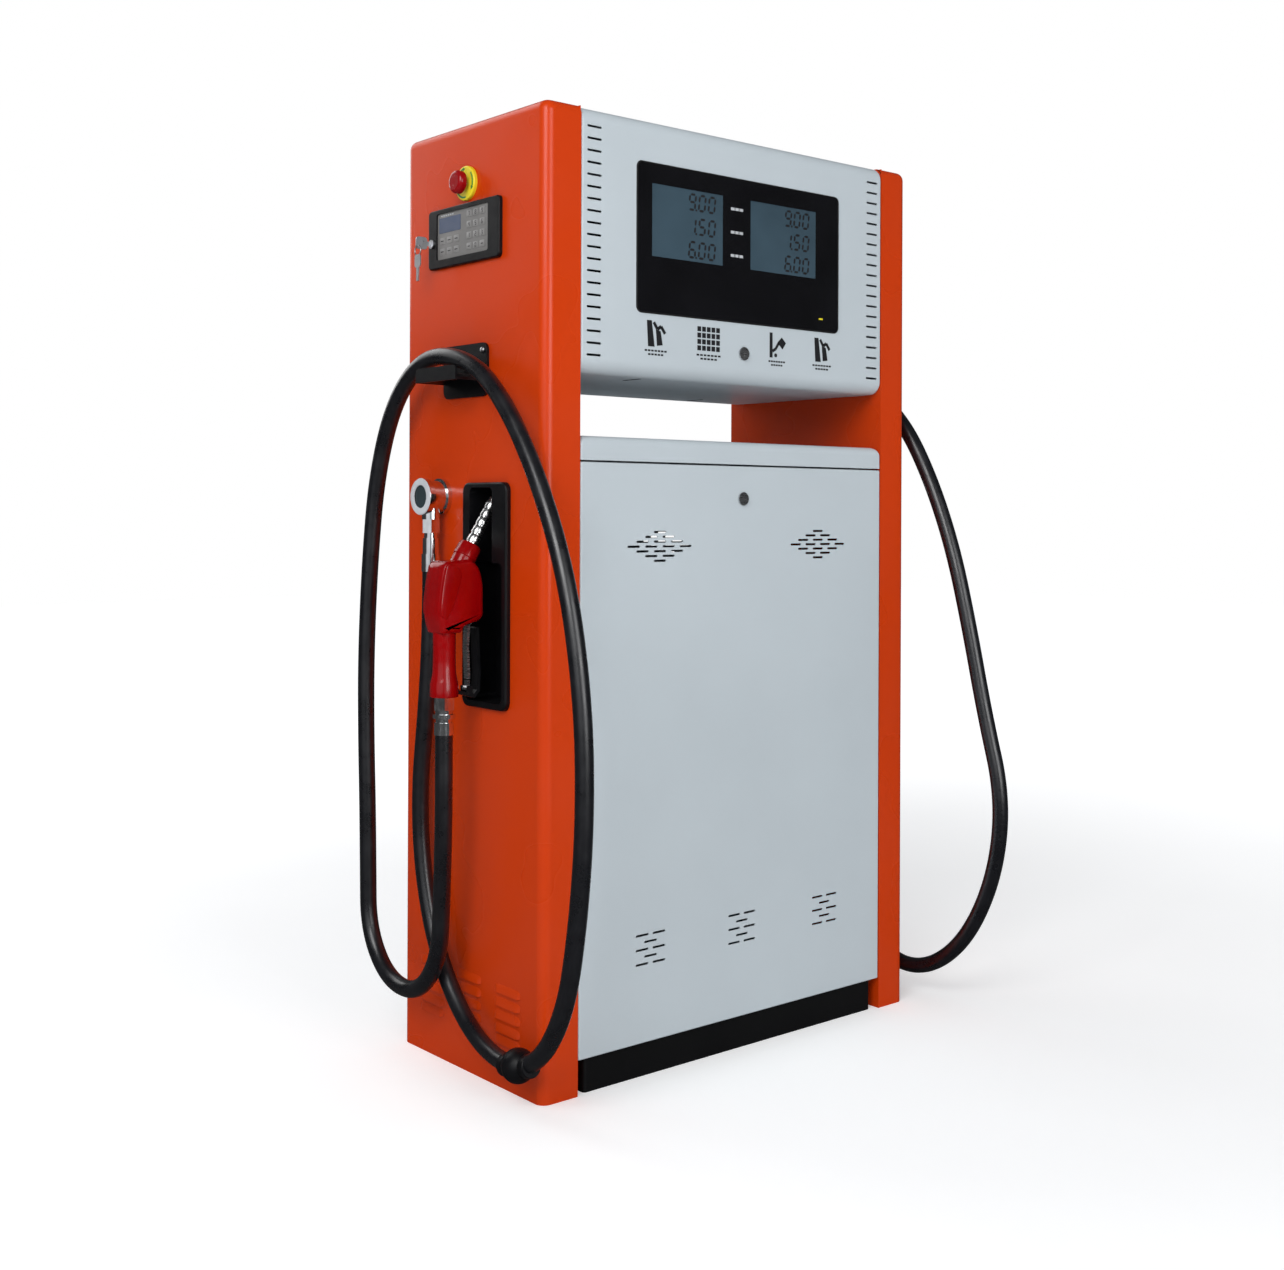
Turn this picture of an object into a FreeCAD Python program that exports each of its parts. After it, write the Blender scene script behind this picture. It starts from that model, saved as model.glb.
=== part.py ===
"""Two-sided fuel dispenser: a cabinet, two end pillars and a raised display head,
with a nozzle and hose on each end. Millimetres, +Z up, front towards -Y.

The dispenser is the same seen from its front and from its rear, so each end and each
face is drawn once (left end, front face) and turned half a turn about Z for the other.
"""
import FreeCAD, Part
import math
import os

os.makedirs("parts", exist_ok=True)
V = FreeCAD.Vector

# ---------------------------------------------------------------- driving dimensions
WIDTH = 894.0                  # over both pillars
DEPTH = 428.0
HEIGHT = 1650.0                # top of the pillars and the head
PILLAR_WIDTH = 74.0
SHEET = 2.0                    # steel sheet of all casings
PANEL_GAP = 1.0                # head, doors and cover to the pillars
RUNNING = 0.05                 # radial clearance of a shaft in its hole
SOFT_GAP = 0.3                 # between curved faces of different bodies

PLINTH_HEIGHT = 57.0
PLINTH_SETBACK = 7.0
PLINTH_END_GAP = 18.0
BASE_PLATE = 5.0
DOOR_BOTTOM = 59.0
DOOR_TOP = 1056.0
DOOR_DEPTH = 20.0
COVER_BOTTOM = 1059.0
COVER_TOP = 1100.0
HEAD_BOTTOM = 1205.0
HEAD_DOOR_DEPTH = 38.0
HEAD_EDGE_RADIUS = 25.0
COVER_EDGE_RADIUS = 16.0
PILLAR_EDGE_RADIUS = 18.0

ANCHOR_SPACING_X = 600.0
ANCHOR_SPACING_Y = 300.0
ANCHOR_HOLE = 18.0             # diameter
SUCTION_BORE = 40.0            # diameter, takes the supply riser
SUCTION_LENGTH = 45.0
CABLE_BORE = 25.0              # diameter, takes the cable conduit
CABLE_LENGTH = 30.0

HOSE_DIAMETER = 30.0
BALL_DIAMETER = 58.0
SPOUT_DIAMETER = 19.0
SPOUT_BORE = 15.0
SPOUT_LENGTH = 92.0
SPOUT_LEAN = 32.0              # degrees from upright, towards the pillar
HANDLE_DIAMETER = 39.0
NOZZLE_Y = -45.0
HANDLE_OUT = 82.0              # handle axis to the pillar's outer face
SWIVEL_BOTTOM = 597.0
SWIVEL_TOP = 661.0
COLLAR_DIAMETER = 60.0
MUSHROOM_DIAMETER = 40.0
STOP_TRAVEL = 6.0
GLASS_DIAMETER = 65.0
GLASS_OUT = 46.0
MOTOR_PULLEY_RADIUS = 45.0
PUMP_PULLEY_RADIUS = 90.0

# ---------------------------------------------------------------- derived places
LEFT = -WIDTH / 2                       # outer face of the left pillar
INNER = WIDTH / 2 - PILLAR_WIDTH        # inner face of a pillar, from the middle
PANEL = INNER - PANEL_GAP               # half width of head, doors and cover
FRONT = -DEPTH / 2


# ---------------------------------------------------------------- shape helpers
def box(x0, x1, y0, y1, z0, z1):
    return Part.makeBox(x1 - x0, y1 - y0, z1 - z0, V(x0, y0, z0))


def rod(radius, start, end):
    """Round bar between two points."""
    axis = end - start
    return Part.makeCylinder(radius, axis.Length, start, axis)


def ring(radius, bore_radius, start, end):
    """Round bar with a hole along it."""
    return rod(radius, start, end).cut(rod(bore_radius, start, end))


def fused(shapes):
    whole = shapes[0]
    if len(shapes) > 1:
        whole = shapes[0].multiFuse(shapes[1:])
    return whole.removeSplitter()


def without(shape, cutters):
    return shape.cut(Part.makeCompound(cutters))


def edges_along(shape, direction, test=None):
    """Straight edges parallel to a direction whose midpoints pass the test."""
    found = []
    for edge in shape.Edges:
        if not isinstance(edge.Curve, Part.Line):
            continue
        along = edge.Vertexes[-1].Point - edge.Vertexes[0].Point
        if along.cross(direction).Length > 1e-6 * along.Length:
            continue
        if test is None or test(edge.CenterOfMass):
            found.append(edge)
    return found


def rounded(shape, radius, direction, test=None):
    return shape.makeFillet(radius, edges_along(shape, direction, test))


def rounded_box(x0, x1, y0, y1, z0, z1, radius, direction):
    return rounded(box(x0, x1, y0, y1, z0, z1), radius, direction)


def slot_along_x(centre, length, height, depth):
    """Stadium-shaped cutter lying along X that goes through a face across Y."""
    half = length / 2 - height / 2
    x, y, z = centre
    ends = [V(x - half, y - depth, z), V(x + half, y - depth, z)]
    cutter = box(x - half, x + half, y - depth, y + depth, z - height / 2, z + height / 2)
    for end in ends:
        cutter = cutter.fuse(Part.makeCylinder(height / 2, 2 * depth, end, V(0, 1, 0)))
    return cutter


def slot_along_y(centre, length, height, depth):
    """The same, lying along Y and going through a face across X."""
    cutter = slot_along_x((centre[1], centre[0], centre[2]), length, height, depth)
    return cutter.mirror(V(0, 0, 0), V(1, -1, 0))


def pipe(points, radius):
    """Pipe of straight lengths with ball corners."""
    shapes = []
    for start, end in zip(points, points[1:]):
        shapes.append(rod(radius, start, end))
    for corner in points[1:-1]:
        shapes.append(Part.makeSphere(radius, corner))
    return fused(shapes)


def turned(shape):
    """The same piece on the opposite end or face."""
    copy = shape.copy()
    copy.rotate(V(0, 0, 0), V(0, 0, 1), 180)
    return copy


def save(node, shapes):
    """Write one node; several shapes stay separate solids of that node."""
    solids = []
    for shape in shapes:
        solids.extend(shape.Solids)
    for solid in solids:
        if not solid.isValid():
            raise ValueError(node + " holds a faulty solid")
    body = solids[0] if len(solids) == 1 else Part.makeCompound(solids)
    body.exportStep("parts/" + node + ".step")
    print(node, len(solids), "solid(s)", round(body.Volume / 1000.0, 1), "cm3")


def save_both(node, shape):
    """One root node holding the piece of both ends."""
    save(node, [shape, turned(shape)])


def save_ends(node, shape):
    """One node for each end."""
    save("left_" + node, [shape])
    save("right_" + node, [turned(shape)])


def save_faces(node, shapes):
    """One node for each face."""
    save("front_" + node, shapes)
    save("rear_" + node, [turned(shape) for shape in shapes])


# ---------------------------------------------------------------- places on the end face
BOOT_Y0, BOOT_Y1 = -120.0, 12.0
BOOT_Z0, BOOT_Z1 = 636.0, 1022.0
BOOT_RIM = 8.0                 # flange left round the opening
BOOT_LIP = 10.0                # flange proud of the pillar
BOOT_DEPTH = 58.0
BOOT_WALL = 3.0
BOOT_THROAT_BOTTOM = 885.0     # above it the boot narrows round the spout
BOOT_THROAT_HALF = 34.0
STOP_Y, STOP_Z = 13.0, 1543.0
STOP_STEM_RADIUS = 8.0
STOP_HOLE_RADIUS = 15.0
KEYPAD_Y0, KEYPAD_Y1 = -93.0, 127.0
KEYPAD_Z0, KEYPAD_Z1 = 1403.0, 1508.0
KEYPAD_OUT = 8.0
PANEL_Y0, PANEL_Y1 = -60.0, 100.0
PANEL_Z0, PANEL_Z1 = 1418.0, 1500.0
KEY_Y, KEY_Z, KEY_RADIUS = 114.0, 1449.0, 8.0
GLASS_Y, GLASS_Z = 90.0, 998.0
OUTLET_Y, OUTLET_OUT = 86.0, 26.0
OUTLET_PIPE_RADIUS = 14.0
COUPLING_BOTTOM = 866.0
HOOK_Y0, HOOK_Y1 = -55.0, 80.0
HOOK_Z0, HOOK_Z1 = 1170.0, 1262.0
HOOK_TOP = 1211.0              # where the hose rests
HOOK_OUT = 66.0
HOOK_PLATE = 5.0
HOOK_RADIUS = 190.0            # bend of the saddle under the hose
HOOK_LIP_DROP = 16.0
HOOK_LIP_RISE = 9.0
LOUVRE_ROWS = [163.0, 141.0, 119.0, 97.0, 78.0]
LOUVRE_COLUMNS = [-116.0, -1.0, 116.0]
LOUVRE_LENGTH = 66.0
LOUVRE_SLOT = 4.0


def pillar_shell():
    """Outer skin of the left pillar: a channel open towards the cabinet and downwards."""
    back = -INNER
    skin = box(LEFT, back, FRONT, -FRONT, 0, HEIGHT)
    skin = rounded(skin, PILLAR_EDGE_RADIUS, V(0, 0, 1), lambda p: p.x < LEFT + 1)
    top_edges = [edge for edge in skin.Edges
                 if edge.BoundBox.ZMin > HEIGHT - 1 and edge.BoundBox.XMin < back - 1]
    skin = skin.makeFillet(PILLAR_EDGE_RADIUS - SHEET, top_edges)
    hollow = box(LEFT + SHEET, back, FRONT + SHEET, -FRONT - SHEET, 0, HEIGHT - SHEET)
    hollow = rounded(hollow, PILLAR_EDGE_RADIUS - SHEET, V(0, 0, 1),
                     lambda p: p.x < LEFT + SHEET + 1)
    inner_top = [edge for edge in hollow.Edges
                 if edge.BoundBox.ZMin > HEIGHT - SHEET - 1 and edge.BoundBox.XMin < back - 1]
    hollow = hollow.makeFillet(PILLAR_EDGE_RADIUS - 2 * SHEET, inner_top)
    skin = skin.cut(hollow)
    face = LEFT + SHEET + 1
    cutters = [
        box(LEFT - 1, face, BOOT_Y0 + BOOT_RIM, BOOT_Y1 - BOOT_RIM,
            BOOT_Z0 + BOOT_RIM, BOOT_Z1 - BOOT_RIM),
        rod(STOP_HOLE_RADIUS, V(LEFT - 1, STOP_Y, STOP_Z), V(face, STOP_Y, STOP_Z)),
        box(LEFT - 1, face, PANEL_Y0 + 8, PANEL_Y1 - 8, PANEL_Z0 + 8, PANEL_Z1 - 8),
        rod(KEY_RADIUS + 2, V(LEFT - 1, KEY_Y, KEY_Z), V(face, KEY_Y, KEY_Z)),
        rod(OUTLET_PIPE_RADIUS + 1, V(LEFT - 1, GLASS_Y, GLASS_Z), V(face, GLASS_Y, GLASS_Z)),
    ]
    for z in LOUVRE_ROWS:
        for y in LOUVRE_COLUMNS:
            cutters.append(slot_along_y((LEFT, y, z), LOUVRE_LENGTH, LOUVRE_SLOT, SHEET + 1))
    return without(skin, cutters)


def pillar_inner_wall():
    """Flat wall that closes the channel, with the hole for the outlet pipe."""
    wall = box(-INNER - SHEET, -INNER, FRONT + SHEET, -FRONT - SHEET, 0, HEIGHT - SHEET)
    hole = rod(OUTLET_PIPE_RADIUS + 3, V(-INNER - SHEET - 1, GLASS_Y, PIPE_CROSS_Z),
               V(-INNER + 1, GLASS_Y, PIPE_CROSS_Z))
    return wall.cut(hole)


# ---------------------------------------------------------------- base frame and plinth
PIPE_CROSS_Z = 940.0           # the outlet pipe passes into the pillar here
SUCTION_X, SUCTION_Y = -130.0, 110.0
CABLE_X, CABLE_Y = -285.0, 110.0
POST = 30.0
POST_SHEET = 3.0
FRAME_HALF_X = PANEL - 27.0
FRAME_HALF_Y = DEPTH / 2 - 29.0
SHELF_Z = 610.0
SHELF_HALF_Y = 120.0
HINGE_X = 320.0
HINGE_PIN_RADIUS = 3.0
HINGE_LUG = 8.0                # radius of the lugs round the hinge pins
HINGE_LUG_WIDTH = 5.0
DOOR_HINGE_Y = FRONT + 12.0
DOOR_HINGE_Z = DOOR_BOTTOM + 12.0


def angle_post(sign_x, sign_y):
    """Corner post of angle section from the base plate into the top cover."""
    x0, x1 = sorted((sign_x * FRAME_HALF_X, sign_x * (FRAME_HALF_X - POST)))
    y0, y1 = sorted((sign_y * FRAME_HALF_Y, sign_y * (FRAME_HALF_Y - POST)))
    top = COVER_TOP - SHEET
    inside = box(x0, x1, y0, y1, 0, top)
    shift = V(-sign_x * POST_SHEET, -sign_y * POST_SHEET, 0)
    cutter = inside.copy()
    cutter.translate(shift)
    return inside.cut(cutter)


def frame_side(sign_y):
    """Hinge pins of one cabinet door on their bracket, and the rails of that side."""
    shapes = []
    y_face = sign_y * FRAME_HALF_Y
    for z in (COVER_TOP - SHEET - POST, SHELF_Z - POST):
        y0, y1 = sorted((y_face, y_face - sign_y * POST_SHEET))
        shapes.append(box(-FRAME_HALF_X, FRAME_HALF_X, y0, y1, z, z + POST))
    for x in (-HINGE_X, HINGE_X):
        inward = -1 if x > 0 else 1
        far = x + inward * 3 * HINGE_LUG_WIDTH
        y, z = -sign_y * DOOR_HINGE_Y, DOOR_HINGE_Z
        shapes.append(rod(HINGE_PIN_RADIUS, V(x - inward * HINGE_LUG_WIDTH, y, z), V(far, y, z)))
        x0, x1 = sorted((far, far - inward * HINGE_LUG_WIDTH))
        y0, y1 = sorted((y + sign_y * 4, y_face - sign_y * POST_SHEET))
        shapes.append(box(x0, x1, y0, y1, z - 4, z + 5))
        y0, y1 = sorted((y_face, y_face - sign_y * POST_SHEET))
        shapes.append(box(x0, x1, y0, y1, 0, z + 5))
    return shapes


def inner_frame():
    shapes = [box(-FRAME_HALF_X, FRAME_HALF_X, -FRAME_HALF_Y, FRAME_HALF_Y, 0, BASE_PLATE)]
    for sign_x in (-1, 1):
        for sign_y in (-1, 1):
            shapes.append(angle_post(sign_x, sign_y))
    for sign_y in (-1, 1):
        shapes.extend(frame_side(sign_y))
    shapes.append(box(-FRAME_HALF_X, FRAME_HALF_X, -SHELF_HALF_Y, SHELF_HALF_Y,
                      SHELF_Z, SHELF_Z + POST_SHEET))
    for sign_x in (-1, 1):
        x0, x1 = sorted((sign_x * FRAME_HALF_X, sign_x * (FRAME_HALF_X - POST_SHEET)))
        shapes.append(box(x0, x1, -FRAME_HALF_Y, FRAME_HALF_Y, SHELF_Z - POST, SHELF_Z + POST_SHEET))
    shapes.append(rod(SUCTION_BORE / 2 + 6, V(SUCTION_X, SUCTION_Y, 0),
                      V(SUCTION_X, SUCTION_Y, SUCTION_LENGTH)))
    shapes.append(rod(CABLE_BORE / 2 + 4, V(CABLE_X, CABLE_Y, 0),
                      V(CABLE_X, CABLE_Y, CABLE_LENGTH)))
    frame = fused(shapes)
    cutters = [
        rod(SUCTION_BORE / 2, V(SUCTION_X, SUCTION_Y, -1), V(SUCTION_X, SUCTION_Y, SUCTION_LENGTH + 1)),
        rod(CABLE_BORE / 2, V(CABLE_X, CABLE_Y, -1), V(CABLE_X, CABLE_Y, CABLE_LENGTH + 1)),
    ]
    for x in (-ANCHOR_SPACING_X / 2, ANCHOR_SPACING_X / 2):
        for y in (-ANCHOR_SPACING_Y / 2, ANCHOR_SPACING_Y / 2):
            cutters.append(rod(ANCHOR_HOLE / 2, V(x, y, -1), V(x, y, BASE_PLATE + 1)))
    for sign in (-1, 1):
        cutters.append(rod(PIPE_RADIUS + 2, V(sign * METER_X, sign * METER_Y, SHELF_Z - 1),
                           V(sign * METER_X, sign * METER_Y, SHELF_Z + POST_SHEET + 1)))
    return without(frame, cutters)


def plinth():
    """Black skirt between the pillars, set back under the doors."""
    half_x = INNER - PLINTH_END_GAP
    half_y = DEPTH / 2 - PLINTH_SETBACK
    skirt = rounded_box(-half_x, half_x, -half_y, half_y, 0, PLINTH_HEIGHT, 6.0, V(0, 0, 1))
    inside = box(-half_x + SHEET, half_x - SHEET, -half_y + SHEET, half_y - SHEET,
                 -1, PLINTH_HEIGHT + 1)
    return skirt.cut(inside)


# ---------------------------------------------------------------- cabinet doors and cover
DIAMOND_ROWS = [1, 2, 3, 4, 3, 2, 1]
DIAMOND_X, DIAMOND_Z = 197.0, 913.0
DIAMOND_ROW_PITCH = 8.3
DIAMOND_SLOT_PITCH = 39.5
DIAMOND_SLOT = 28.0
LOWER_ROWS = [2, 1, 2, 1, 2]
LOWER_X = [-215.0, 2.0, 218.0]
LOWER_Z = 220.0
LOWER_ROW_PITCH = 12.5
LOWER_SLOT_PITCH = 38.0
LOWER_SLOT = 29.0
VENT_HEIGHT = 4.0
LOCK_RADIUS = 9.0
CABINET_LOCK_Z = 997.0
HEAD_LOCK_Z = 1260.0
CABINET_LOCK_DEPTH = 16.0
HEAD_LOCK_DEPTH = 24.0
LOCK_FLANGE = 12.0
EDGE_ROUND = 4.0


def slot_group(centre_x, centre_z, rows, row_pitch, slot_pitch, length):
    """Rows of slots centred on one point."""
    cutters = []
    for index, count in enumerate(rows):
        z = centre_z + (len(rows) - 1) / 2 * row_pitch - index * row_pitch
        for place in range(count):
            x = centre_x + (place - (count - 1) / 2) * slot_pitch
            cutters.append(slot_along_x((x, FRONT, z), length, VENT_HEIGHT, SHEET + 1))
    return cutters


def cabinet_door():
    """Front cabinet door: a pan with returned edges, vents, lock hole and hinge lugs."""
    pan = box(-PANEL, PANEL, FRONT, FRONT + DOOR_DEPTH, DOOR_BOTTOM, DOOR_TOP)
    pan = rounded(pan, EDGE_ROUND, V(0, 0, 1), lambda p: p.y < FRONT + 1)
    pan = rounded(pan, EDGE_ROUND - 1, V(1, 0, 0), lambda p: p.y < FRONT + 1)
    pan = pan.cut(box(-PANEL + SHEET, PANEL - SHEET, FRONT + SHEET, FRONT + DOOR_DEPTH + 1,
                      DOOR_BOTTOM + SHEET, DOOR_TOP - SHEET))
    lugs = []
    for x in (-HINGE_X, HINGE_X):
        lug = rod(HINGE_LUG, V(x - HINGE_LUG_WIDTH / 2, DOOR_HINGE_Y, DOOR_HINGE_Z),
                  V(x + HINGE_LUG_WIDTH / 2, DOOR_HINGE_Y, DOOR_HINGE_Z))
        web = box(x - HINGE_LUG_WIDTH / 2, x + HINGE_LUG_WIDTH / 2, FRONT + 1, DOOR_HINGE_Y,
                  DOOR_HINGE_Z - HINGE_LUG, DOOR_HINGE_Z + HINGE_LUG)
        lugs.extend([lug, web])
    pan = fused([pan] + lugs)
    cutters = [rod(LOCK_RADIUS + RUNNING, V(0, FRONT - 1, CABINET_LOCK_Z),
                   V(0, FRONT + SHEET + 1, CABINET_LOCK_Z))]
    for x in (-HINGE_X, HINGE_X):
        cutters.append(rod(HINGE_PIN_RADIUS + RUNNING, V(x - HINGE_LUG_WIDTH, DOOR_HINGE_Y, DOOR_HINGE_Z),
                           V(x + HINGE_LUG_WIDTH, DOOR_HINGE_Y, DOOR_HINGE_Z)))
    for x in (-DIAMOND_X, DIAMOND_X):
        cutters.extend(slot_group(x, DIAMOND_Z, DIAMOND_ROWS, DIAMOND_ROW_PITCH,
                                  DIAMOND_SLOT_PITCH, DIAMOND_SLOT))
    for x in LOWER_X:
        cutters.extend(slot_group(x, LOWER_Z, LOWER_ROWS, LOWER_ROW_PITCH,
                                  LOWER_SLOT_PITCH, LOWER_SLOT))
    return without(pan, cutters)


def cam_lock(z, depth):
    """Lock barrel with its flange outside and its cam inside, in a front face at height z."""
    face = FRONT
    barrel = rod(LOCK_RADIUS, V(0, face - 1, z), V(0, face + depth, z))
    flange = rod(LOCK_FLANGE, V(0, face - 3.5, z), V(0, face - 0.2, z))
    flange = flange.makeFillet(1.0, [flange.Edges[0]])
    slot = box(-0.8, 0.8, face - 4, face - 1.5, z - 5, z + 5)
    cam = rounded_box(-6, 6, face + depth - 4, face + depth, z - 9, z + 32, 5.0, V(0, 1, 0))
    return fused([barrel, flange, cam]).cut(slot)


def top_cover():
    """Closed lid over the cabinet, under the gap to the head."""
    lid = box(-PANEL, PANEL, FRONT, -FRONT, COVER_BOTTOM, COVER_TOP)
    lid = rounded(lid, EDGE_ROUND, V(0, 0, 1))
    top = [edge for edge in lid.Edges if edge.BoundBox.ZMin > COVER_TOP - 1]
    lid = lid.makeFillet(COVER_EDGE_RADIUS, top)
    hollow = box(-PANEL + SHEET, PANEL - SHEET, FRONT + SHEET, -FRONT - SHEET,
                 COVER_BOTTOM - 1, COVER_TOP - SHEET)
    top = [edge for edge in hollow.Edges if edge.BoundBox.ZMin > COVER_TOP - SHEET - 1]
    return lid.cut(hollow.makeFillet(COVER_EDGE_RADIUS - SHEET, top))


# ---------------------------------------------------------------- display head
HINGE_AXIS_Y = FRONT + HEAD_DOOR_DEPTH
HINGE_GAP = 1.5                # door and case to the hinge axis
HEAD_HINGE_X = 217.0
HEAD_HINGE_LENGTH = 70.0
KNUCKLE_RADIUS = 4.5
HEAD_PIN_RADIUS = 2.5
WINDOW_X0, WINDOW_X1 = -252.0, 248.0
WINDOW_Z0, WINDOW_Z1 = 1316.0, 1574.0
WINDOW_RADIUS = 10.0
WINDOW_THICK = 4.0
WINDOW_PROUD = 1.0
LCD_LEFT = [-219.0, -52.0]
LCD_RIGHT = [16.0, 187.0]
LCD_Z0, LCD_Z1 = 1414.0, 1540.0
LCD_THICK = 12.0
HEAD_VENT_COUNT = 20
HEAD_VENT_X = [-345.0, 345.0]
HEAD_VENT_LENGTH = 31.0
HEAD_VENT_BOTTOM, HEAD_VENT_TOP = 1235.0, 1617.0


def hinge_spans(of_door):
    """Lengths along X of the knuckles of a head hinge that belong to the door or the case."""
    spans = []
    for x in (-HEAD_HINGE_X, HEAD_HINGE_X):
        middle = HEAD_HINGE_LENGTH / 4
        if of_door:
            spans.append((x - middle + 0.2, x + middle - 0.2))
        else:
            spans.append((x - HEAD_HINGE_LENGTH / 2, x - middle))
            spans.append((x + middle, x + HEAD_HINGE_LENGTH / 2))
    return spans


def axis_rods(spans, radius, extra):
    return [rod(radius, V(x0 - extra, HINGE_AXIS_Y, HEIGHT), V(x1 + extra, HINGE_AXIS_Y, HEIGHT))
            for x0, x1 in spans]


def knuckles(spans, leaf_y):
    """Knuckles on the hinge axis with a leaf to the panel they belong to."""
    shapes = axis_rods(spans, KNUCKLE_RADIUS, 0)
    y0, y1 = sorted((HINGE_AXIS_Y, leaf_y))
    for x0, x1 in spans:
        shapes.append(box(x0, x1, y0, y1, HEIGHT - SHEET, HEIGHT))
    return shapes


def head_case():
    """Middle of the head: top, bottom and end walls, open to both faces, with both hinges."""
    half = -HINGE_AXIS_Y - HINGE_GAP
    case = box(-PANEL, PANEL, -half, half, HEAD_BOTTOM, HEIGHT)
    case = case.cut(box(-PANEL + SHEET, PANEL - SHEET, -half - 1, half + 1,
                        HEAD_BOTTOM + SHEET, HEIGHT - SHEET))
    own = knuckles(hinge_spans(False), -half)
    own += [turned(shape) for shape in own]
    clear = axis_rods(hinge_spans(True), KNUCKLE_RADIUS + 1, 0.2)
    clear += [turned(shape) for shape in clear]
    case = without(case, clear)
    pins = []
    for x in (-HEAD_HINGE_X, HEAD_HINGE_X):
        pin = rod(HEAD_PIN_RADIUS, V(x - HEAD_HINGE_LENGTH / 2, HINGE_AXIS_Y, HEIGHT),
                  V(x + HEAD_HINGE_LENGTH / 2, HINGE_AXIS_Y, HEIGHT))
        pins += [pin, turned(pin)]
    return fused([case] + own + pins)


def display_door():
    """Front door of the head: a deep pan with the window opening, vents and hinge knuckles."""
    back = HINGE_AXIS_Y - HINGE_GAP
    pan = box(-PANEL, PANEL, FRONT, back, HEAD_BOTTOM, HEIGHT)
    pan = rounded(pan, HEAD_EDGE_RADIUS, V(1, 0, 0), lambda p: p.y < FRONT + 1)
    sides = [edge for edge in pan.Edges if edge.BoundBox.XLength < 0.01
             and edge.BoundBox.YMin < FRONT + HEAD_EDGE_RADIUS + 1
             and edge.BoundBox.YMax < back - 1]
    pan = pan.makeFillet(EDGE_ROUND, sides)
    hollow = box(-PANEL + SHEET, PANEL - SHEET, FRONT + SHEET, back + 1,
                 HEAD_BOTTOM + SHEET, HEIGHT - SHEET)
    hollow = rounded(hollow, HEAD_EDGE_RADIUS - SHEET, V(1, 0, 0), lambda p: p.y < FRONT + SHEET + 1)
    pan = pan.cut(hollow)
    pan = without(pan, axis_rods(hinge_spans(False), KNUCKLE_RADIUS + 1, 0.2))
    pan = fused([pan] + knuckles(hinge_spans(True), back))
    cutters = axis_rods(hinge_spans(True), HEAD_PIN_RADIUS + RUNNING, 1)
    cutters.append(rounded_box(WINDOW_X0, WINDOW_X1, FRONT - 1, FRONT + SHEET + 1,
                               WINDOW_Z0, WINDOW_Z1, WINDOW_RADIUS, V(0, 1, 0)))
    cutters.append(rod(LOCK_RADIUS + RUNNING, V(0, FRONT - 1, HEAD_LOCK_Z),
                       V(0, FRONT + SHEET + 1, HEAD_LOCK_Z)))
    pitch = (HEAD_VENT_TOP - HEAD_VENT_BOTTOM) / (HEAD_VENT_COUNT - 1)
    for x in HEAD_VENT_X:
        for index in range(HEAD_VENT_COUNT):
            z = HEAD_VENT_BOTTOM + index * pitch
            cutters.append(slot_along_x((x, FRONT, z), HEAD_VENT_LENGTH, VENT_HEIGHT, SHEET + 1))
    return without(pan, cutters)


def display_window():
    """Dark pane of the door, with an opening for each display."""
    pane = rounded_box(WINDOW_X0, WINDOW_X1, FRONT - WINDOW_PROUD, FRONT - WINDOW_PROUD + WINDOW_THICK,
                       WINDOW_Z0, WINDOW_Z1, WINDOW_RADIUS, V(0, 1, 0))
    openings = []
    for x0, x1 in (LCD_LEFT, LCD_RIGHT):
        openings.append(box(x0, x1, FRONT - 3, FRONT + WINDOW_THICK + 1, LCD_Z0, LCD_Z1))
    return without(pane, openings)


def lcd(span):
    x0, x1 = span
    return box(x0, x1, FRONT - WINDOW_PROUD + 1, FRONT + LCD_THICK, LCD_Z0, LCD_Z1)


def electronics():
    """Controller box and two meter-board boxes standing on the floor of the head."""
    floor = HEAD_BOTTOM + SHEET
    controller = rounded_box(-150, 150, -60, 60, floor, floor + 110, 6.0, V(0, 0, 1))
    lid = rounded_box(-154, 154, -64, 64, floor + 110, floor + 122, 6.0, V(0, 0, 1))
    supply = rounded_box(190, 330, -70, 70, floor, floor + 90, 6.0, V(0, 0, 1))
    boards = rounded_box(-330, -190, -70, 70, floor, floor + 90, 6.0, V(0, 0, 1))
    return [fused([controller, lid]), supply, boards]


# ---------------------------------------------------------------- fittings on the end faces
def stop_collar():
    """Yellow collar with its contact block behind the pillar's skin."""
    face = LEFT
    collar = rod(COLLAR_DIAMETER / 2, V(face - 7, STOP_Y, STOP_Z), V(face, STOP_Y, STOP_Z))
    outer = [edge for edge in collar.Edges if edge.BoundBox.XMax < face - 6]
    collar = collar.makeFillet(2.5, outer)
    block = box(face + SHEET + 18, face + SHEET + 46, STOP_Y - 20, STOP_Y + 20, STOP_Z - 15, STOP_Z + 15)
    neck = rod(STOP_HOLE_RADIUS - 0.5, V(face - 1, STOP_Y, STOP_Z), V(face + SHEET + 19, STOP_Y, STOP_Z))
    bore = rod(STOP_STEM_RADIUS + RUNNING, V(face - 8, STOP_Y, STOP_Z),
               V(face + SHEET + 38, STOP_Y, STOP_Z))
    return fused([collar, block, neck]).cut(bore)


def stop_stem():
    return rod(STOP_STEM_RADIUS, V(LEFT - 18, STOP_Y, STOP_Z), V(LEFT + 25, STOP_Y, STOP_Z))


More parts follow.
